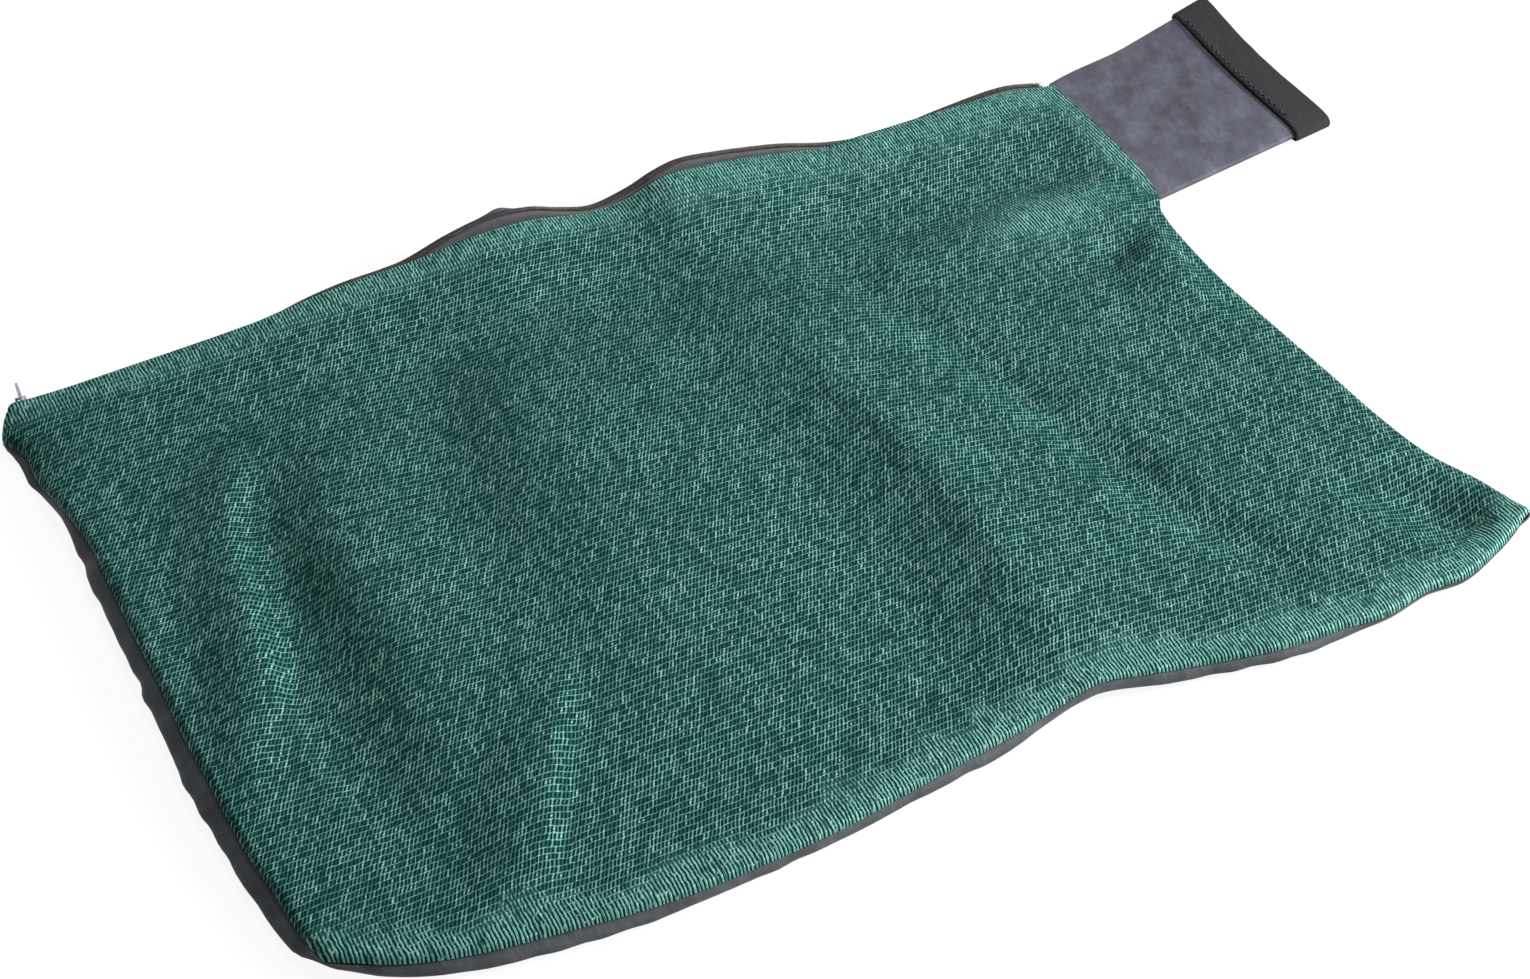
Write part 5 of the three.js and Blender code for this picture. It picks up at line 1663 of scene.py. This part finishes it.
@dataclass
class Zip:
    """The zip: two tapes, two rows of coil teeth, its stops, and the slider with its pull."""

    lie: Lie
    tape: float = 0.7
    tape_lap: float = 7
    tape_flat: float = 4.6
    chain_gap: float = 0.65
    coil: float = 1.7
    chain_start: float = -8.5
    chain_end: float = 664
    stop_length: float = 1.6
    end_stop_length: float = 3
    fold_out: float = 0.5
    bunch_place: float = 294  # where the lower tape is bunched up behind the chain
    bunch_reach: float = 8
    bunch_height: float = 4
    stations: int = 300
    pitch: float = 1.6
    wire: float = 0.27
    turn_points: int = 12
    wire_sides: int = 5
    bevel: float = 0.22

    @property
    def tape_drop(self) -> float:
        """Distance from the mesh panel to the tape under its hem."""
        return 2 * self.lie.layer - self.lie.cloth / 2 + self.tape / 2

    @property
    def tape_out(self) -> float:
        """Distance from the hem to the tape where it rises past it."""
        return self.fold_out + (self.lie.cloth + self.tape) / 2 + self.lie.clearance

    def upper_rows(self, x: Array) -> Array:
        """Lays out the upper tape.

        Args:
            x: places along the bag.

        Returns:
            Rows along it, from its sewn lap to the chain.
        """
        lie = self.lie
        y = lie.hem_y(x)
        z = lie.mesh_height(x, y) - self.tape_drop
        flat = lie.chain_point(x, -self.tape_flat, 0)
        above = smoothstep(flat[:, 2] - z, 0, 5)
        lap_z = lie.mesh_height(x, y - self.tape_lap) - self.tape_drop
        rise = lerp((z + flat[:, 2]) / 2, z + 2 * self.tape, above)
        return np.stack([
            np.column_stack([x, y - self.tape_lap, lap_z]),
            np.column_stack([x, y + lerp(0, self.tape_out, above), z]),
            np.column_stack([x, y + lerp(1, self.tape_out, above), rise]),
            flat,
            lie.chain_point(x, -self.chain_gap, 0),
        ])

    def lower_rows(self, x: Array) -> Array:
        """Lays out the lower tape.

        Args:
            x: places along the bag.

        Returns:
            Rows along it, from the chain to its sewn lap.
        """
        lie = self.lie
        y = lie.wall_y(x)
        z = lie.chain_z(x) - lie.chain_over_wall + (lie.cloth + self.tape) / 2 + lie.clearance
        bunch = self.bunch_height * np.exp(-(((x - self.bunch_place) / self.bunch_reach) ** 2))
        lift = bunch[:, None] * [0, 0, 1]
        return np.stack([
            lie.chain_point(x, self.chain_gap, 0),
            lie.chain_point(x, self.chain_gap + self.coil + 0.2, 0),
            lie.chain_point(x, self.tape_flat, 0) + lift,
            np.column_stack([x, y + 0.3, (z + lie.chain_z(x) + 0.6) / 2 + bunch / 2]),
            np.column_stack([x, y - 0.3, z]),
            np.column_stack([x, y - self.tape_lap, z]),
        ])

    def tape_piece(self, side: ZipSide) -> bpy.types.Object:
        """Makes one tape.

        Args:
            side: the half of the zip.

        Returns:
            The piece.
        """
        x = np.linspace(self.chain_start, self.chain_end, self.stations + 1)
        rows = self.upper_rows(x) if side is ZipSide.UPPER else self.lower_rows(x)
        rows = rounded(rows, 2)
        sheet = Sheet(self.tape)
        step = np.linalg.norm(np.diff(rows, axis=0), axis=-1).mean(axis=1)
        across = np.concatenate([[0], np.cumsum(step)])
        places = np.stack(np.broadcast_arrays(x[None, :], across[:, None]), axis=-1)
        sheet.join_all(sheet.row(rows, places))
        name = side.name.lower()
        piece = dress(sheet.piece(f"{name}_tape"), ZIP_TAPE, Body.BAG, f"zip_tape_{name}")
        return piece

    def coil_piece(self, side: ZipSide) -> bpy.types.Object:
        """Makes one row of teeth, a plastic wire wound round and round.

        Args:
            side: the half of the zip.

        Returns:
            The piece.
        """
        start = self.chain_start + self.stop_length + self.lie.clearance + 0.5
        end = self.chain_end - self.end_stop_length - self.lie.clearance - 0.5
        turns = (end - start) / self.pitch
        t = np.linspace(0, turns, int(turns * self.turn_points) + 1)
        x = start + t * self.pitch
        phase = 2 * np.pi * t + (np.pi if side is ZipSide.LOWER else 0)
        out_middle = self.tape / 2 + self.lie.clearance + self.coil / 2
        across_middle = self.chain_gap + self.coil / 2
        across = side.value * (across_middle + (self.coil / 2 - self.wire) * np.cos(phase))
        out = out_middle + (self.coil / 2 - self.wire) * np.sin(phase)
        path = self.lie.chain_point(x, across, out)
        points, quads = tube(path, self.wire, self.wire_sides)
        name = side.name.lower()
        piece = make_piece(f"{name}_coil", points, quads)
        return dress(piece, ZIP_COIL, Body.BAG, f"zip_coil_{name}")

    def metal_piece(self, name: str, node: str, body: Body) -> bpy.types.Object:
        """Makes a metal piece from its drawn solid, with rounded edges.

        Args:
            name: the piece's name.
            node: the drawn solid.
            body: the body that it rides on.

        Returns:
            The piece.
        """
        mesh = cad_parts[node].data.copy()
        mesh.name = name
        piece = bpy.data.objects.new(name, mesh)
        bpy.context.scene.collection.objects.link(piece)
        shape = bmesh.new()
        shape.from_mesh(mesh)
        bmesh.ops.remove_doubles(shape, verts=shape.verts, dist=1e-6)
        bmesh.ops.dissolve_limit(
            shape, angle_limit=math.radians(3), verts=shape.verts, edges=shape.edges)
        shape.to_mesh(mesh)
        shape.free()
        rounding = piece.modifiers.new("rounding", "BEVEL")
        rounding.width = self.bevel * MM
        rounding.segments = 2
        rounding.limit_method = "ANGLE"
        rounding.angle_limit = math.radians(40)
        graph = bpy.context.evaluated_depsgraph_get()
        final = bpy.data.meshes.new_from_object(piece.evaluated_get(graph))
        piece.modifiers.clear()
        piece.data = final
        final.shade_smooth()
        final.set_sharp_from_angle(angle=math.radians(35))
        return dress(piece, ZIP_METAL, body, node)

    def build(self) -> None:
        """Makes the whole zip."""
        for side in ZipSide:
            self.tape_piece(side)
            self.coil_piece(side)
        self.metal_piece("upper_stop", "zip_stop_upper", Body.BAG)
        self.metal_piece("lower_stop", "zip_stop_lower", Body.BAG)
        self.metal_piece("end_stop", "zip_end_stop", Body.BAG)
        self.metal_piece("slider_body", "zip_slider", Body.SLIDER)
        self.metal_piece("pull_tab", "zip_pull", Body.PULL)


@dataclass
class Stitching:
    """The rows of stitches that join the panels, the zip, the neck and the cuff."""

    lie: Lie
    neck: Neck
    zip: Zip
    thread: float = 0.7
    inset: float = 5.5
    stitch: float = 3.4
    space: float = 0.7
    zip_run: tuple = (8, 652)  # places along the bag where the zip's rows start and end
    neck_run: tuple = (0.2, 0.8)  # shares of the way across the neck, for its rows
    cuff_run: tuple = (1 / 12, 11 / 12)
    cuff_inset: float = 3
    zigzag: float = 1.1
    zigzags: int = 26
    steps: int = 500

    @property
    def lift(self) -> float:
        """Distance from a cloth's middle surface to the thread on it."""
        return self.lie.cloth / 2 + self.lie.clearance + self.thread / 2

    def seam(self, u: Array, v: Array, dx: float, height: Line, by_x: bool) -> Array:
        """Row beside a seam of the two panels.

        Args:
            u: shares from left to right.
            v: shares from near to far.
            dx: how far the row lies from the edge along X, or 0 beside the near edge.
            height: height of the seam line.
            by_x: True where that height goes by the share of the length.

        Returns:
            Points of the row.
        """
        lie = self.lie
        x, y = lie.place(u, v, lie.hem_y)
        share = x / lie.length if by_x else y / (lie.width if dx > 0 else lie.right_width)
        z = height(share) + lie.seam_half + self.lift
        return np.column_stack([x + dx, y + (self.inset if by_x else 0), z])

    def seam_rows(self, share: Array) -> dict[str, Array]:
        """Lays the rows that join the two panels.

        Args:
            share: shares of the way along a row.

        Returns:
            Points of each row, by the name of its drawn solid.
        """
        lie = self.lie
        near, left, right, _ = lie.seams
        trim_u, trim_v = lie.trim
        left_v = lerp(trim_v, 1 - 2 * trim_v, share)
        shoulder_v = lerp(trim_v, lie.neck_start - trim_v, share)
        one, zero = np.ones_like(share), np.zeros_like(share)
        return {
            "near_seam_thread": self.seam(lerp(trim_u, 1 - trim_u, share), zero, 0, near, True),
            "left_seam_thread": self.seam(zero, left_v, self.inset, left, False),
            "shoulder_seam_thread": self.seam(one, shoulder_v, -self.inset, right, False),
        }

    def zip_rows(self, share: Array) -> dict[str, Array]:
        """Lays the rows that join the tapes to the panels.

        Args:
            share: shares of the way along a row.

        Returns:
            Points of each row, by the name of its drawn solid.
        """
        lie, zip_ = self.lie, self.zip
        x = lerp(*self.zip_run, share)
        hem_y = lie.hem_y(x) - self.inset
        hem_z = lie.mesh_height(x, hem_y) - zip_.tape_drop
        hem_z = hem_z - zip_.tape / 2 - lie.clearance - self.thread / 2
        wall_z = lie.chain_z(x) - lie.chain_over_wall - self.lift
        return {
            "zip_thread_upper": np.column_stack([x, hem_y, hem_z]),
            "zip_thread_lower": np.column_stack([x, lie.wall_y(x) - self.inset, wall_z]),
        }

    def neck_rows(self, share: Array) -> dict[str, Array]:
        """Lays the rows that join the neck to the panels, and the one on the cuff.

        Args:
            share: shares of the way along a row.

        Returns:
            Points of each row, by the name of its drawn solid.
        """
        lie, neck = self.lie, self.neck
        y = neck.neck_y(lerp(*self.neck_run, share))
        x = lie.right_x(y) - self.inset
        upper = lie.mesh_height(x, y) - 2 * lie.layer - self.lift
        lower = np.full_like(y, lie.floor + 2 * lie.layer + self.lift)
        across = lerp(*self.cuff_run, share)
        sway = self.zigzag * np.sin(across * 2 * np.pi * self.zigzags)
        along = neck.reach - neck.cuff_length + self.cuff_inset + sway
        cuff_z = neck.high(along, across) + neck.cuff_offset + neck.cuff_wave / 2
        cuff_z = cuff_z + neck.cuff_thickness / 2 + self.thread / 2
        return {
            "neck_thread_upper": np.column_stack([x, y, upper]),
            "neck_thread_lower": np.column_stack([x, y, lower]),
            "cuff_thread": np.column_stack([neck.place(along, across), cuff_z]),
        }

    def stitches(self, course: Array) -> tuple[Array, Array]:
        """Separate stitches along a course, each a short bent rod.

        Args:
            course: points of the row.

        Returns:
            Points and four-sided faces of all the stitches.
        """
        step = np.linalg.norm(np.diff(course, axis=0), axis=1)
        distance = np.concatenate([[0], np.cumsum(step)])
        starts = np.arange(0, distance[-1] - self.stitch, self.stitch + self.space)
        bend = np.array([-0.12, -0.02, 0, 0, -0.02, -0.12])
        points, quads, count = [], [], 0
        for start in starts:
            at = start + self.stitch * np.linspace(0, 1, len(bend))
            path = np.column_stack([np.interp(at, distance, course[:, k]) for k in range(3)])
            path[:, 2] += bend
            rod, faces = tube(path, self.thread / 2, 6, first=count)
            points.append(rod)
            quads.append(faces)
            count += len(rod)
        return np.concatenate(points), np.concatenate(quads)

    def build(self) -> None:
        """Makes each row of stitches."""
        share = np.linspace(0, 1, self.steps)
        rows = {**self.seam_rows(share), **self.zip_rows(share), **self.neck_rows(share)}
        for node, course in rows.items():
            points, quads = self.stitches(course)
            name = node.replace("_thread", "") + "_stitches"
            dress(make_piece(name, points, quads), DARK_THREAD, Body.BAG, node)


def seen_by(tree: bpy.types.NodeTree, *rays: str) -> bpy.types.NodeSocket:
    """Adds a test for two kinds of rays.

    Args:
        tree: the shader tree.
        rays: names of the two kinds.

    Returns:
        Socket that is 1 for either kind and 0 for the others.
    """
    path = tree.nodes.new("ShaderNodeLightPath")
    seen = tree.nodes.new("ShaderNodeMath")
    seen.operation = "MAXIMUM"
    for number, ray in enumerate(rays):
        tree.links.new(path.outputs[ray], seen.inputs[number])
    return seen.outputs[0]


@dataclass
class Studio:
    """Camera, soft light and a pale floor that keeps the bag's shadow."""

    camera_place: tuple = (-236.6, -878.6, 1033.6)
    heading: tuple = (0.4621, 0.8868)
    tilt: float = 40
    lens: float = 70.588
    key_place: tuple = (2.7, -1.2, 1.34)  # metres from the frame's origin
    key_size: float = 0.7
    key_power: float = 164
    top_place: tuple = (0.81, 0.86, 1.97)
    top_size: float = 0.6
    top_power: float = 19
    sky: float = 0.17
    floor_size: float = 30
    floor_drop: float = 0.0004  # metres from the bag's lowest point down to the floor
    floor_grey: float = 0.86
    floor_glow: float = 1.06
    shadow_share: float = 0.14  # how much of the true shadow the camera sees

    def camera(self) -> None:
        """Makes the camera at the photograph's angle."""
        data = bpy.data.cameras.new("camera")
        data.lens, data.sensor_width, data.sensor_fit = self.lens, 36, "HORIZONTAL"
        data.clip_start, data.clip_end = 0.05, 100
        camera = bpy.data.objects.new("camera", data)
        camera.location = (np.array(self.camera_place) - DRAWN_MIDDLE) * MM
        tilt = math.radians(self.tilt)
        level = math.cos(tilt)
        way = Vector((self.heading[0] * level, self.heading[1] * level, -math.sin(tilt)))
        camera.rotation_euler = way.to_track_quat("-Z", "Y").to_euler()
        bpy.context.scene.collection.objects.link(camera)
        bpy.context.scene.camera = camera

    def lamp(self, name: str, place: tuple, size: float, power: float) -> None:
        """Makes a square lamp that shines at the bag.

        Args:
            name: the lamp's name.
            place: its place in metres.
            size: length of its sides in metres.
            power: its power in watts.
        """
        data = bpy.data.lights.new(name, "AREA")
        data.energy, data.size = power, size
        lamp = bpy.data.objects.new(name, data)
        lamp.location = place
        lamp.rotation_euler = (-Vector(place)).to_track_quat("-Z", "Y").to_euler()
        bpy.context.scene.collection.objects.link(lamp)

    def light(self) -> None:
        """Makes the two lamps and the sky, which is white to the camera."""
        self.lamp("key", self.key_place, self.key_size, self.key_power)
        self.lamp("top", self.top_place, self.top_size, self.top_power)
        world = bpy.data.worlds.new("sky")
        bpy.context.scene.world = world
        world.use_nodes = True
        nodes, links = world.node_tree.nodes, world.node_tree.links
        nodes.clear()
        seen = seen_by(world.node_tree, "Is Camera Ray", "Is Transmission Ray")
        strength = nodes.new("ShaderNodeMapRange")
        strength.inputs["To Min"].default_value = self.sky
        strength.inputs["To Max"].default_value = 1.0
        links.new(seen, strength.inputs["Value"])
        back = nodes.new("ShaderNodeBackground")
        back.inputs["Color"].default_value = (1, 1, 1, 1)
        links.new(strength.outputs["Result"], back.inputs["Strength"])
        links.new(back.outputs[0], nodes.new("ShaderNodeOutputWorld").inputs["Surface"])

    def floor(self) -> None:
        """Makes the floor, white to the camera but for a soft shadow."""
        half = self.floor_size / 2
        mesh = bpy.data.meshes.new("floor")
        corners = [(-half, -half, 0), (half, -half, 0), (half, half, 0), (-half, half, 0)]
        mesh.from_pydata(corners, [], [(0, 1, 2, 3)])
        floor = bpy.data.objects.new("floor", mesh)
        floor.location = (0, 0, -self.floor_drop)
        bpy.context.scene.collection.objects.link(floor)
        material = bpy.data.materials.new("floor")
        material.use_nodes = True
        nodes, links = material.node_tree.nodes, material.node_tree.links
        nodes.clear()
        matte = nodes.new("ShaderNodeBsdfDiffuse")
        matte.inputs["Color"].default_value = (*[self.floor_grey] * 3, 1)
        glow = nodes.new("ShaderNodeEmission")
        glow.inputs["Strength"].default_value = self.floor_glow
        seen = seen_by(material.node_tree, "Is Camera Ray", "Is Glossy Ray")
        share = nodes.new("ShaderNodeMath")
        share.operation = "MULTIPLY"
        share.inputs[1].default_value = 1 - self.shadow_share
        links.new(seen, share.inputs[0])
        mix = nodes.new("ShaderNodeMixShader")
        links.new(share.outputs[0], mix.inputs["Fac"])
        links.new(matte.outputs[0], mix.inputs[1])
        links.new(glow.outputs[0], mix.inputs[2])
        links.new(mix.outputs[0], nodes.new("ShaderNodeOutputMaterial").inputs["Surface"])
        floor.data.materials.append(material)
        floor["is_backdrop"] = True

    def build(self) -> None:
        """Makes the whole studio."""
        self.camera()
        self.light()
        self.floor()
        bpy.context.scene.view_settings.view_transform = "Standard"
        log.info("studio: camera, lamps, sky and floor")


def write_size() -> None:
    """Measures the drawn model's box and the dressed one's."""
    boxes = {"cad": CAD_BOX, "visual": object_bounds()}
    plain = {name: [list(low), list(high)] for name, (low, high) in boxes.items()}


def main() -> None:
    """Builds the bag and the studio."""
    logging.basicConfig(level=logging.INFO, format="%(name)s %(message)s")
    lie = Lie()
    Studio().build()
    panels = Panels(lie)
    panels.nylon_panel()
    panels.mesh_panel()
    neck = Neck(lie)
    neck.sleeve()
    neck.cuff()
    zip_ = Zip(lie)
    zip_.build()
    Stitching(lie, neck, zip_).build()
    write_size()


if __name__ == "__main__":
    main()
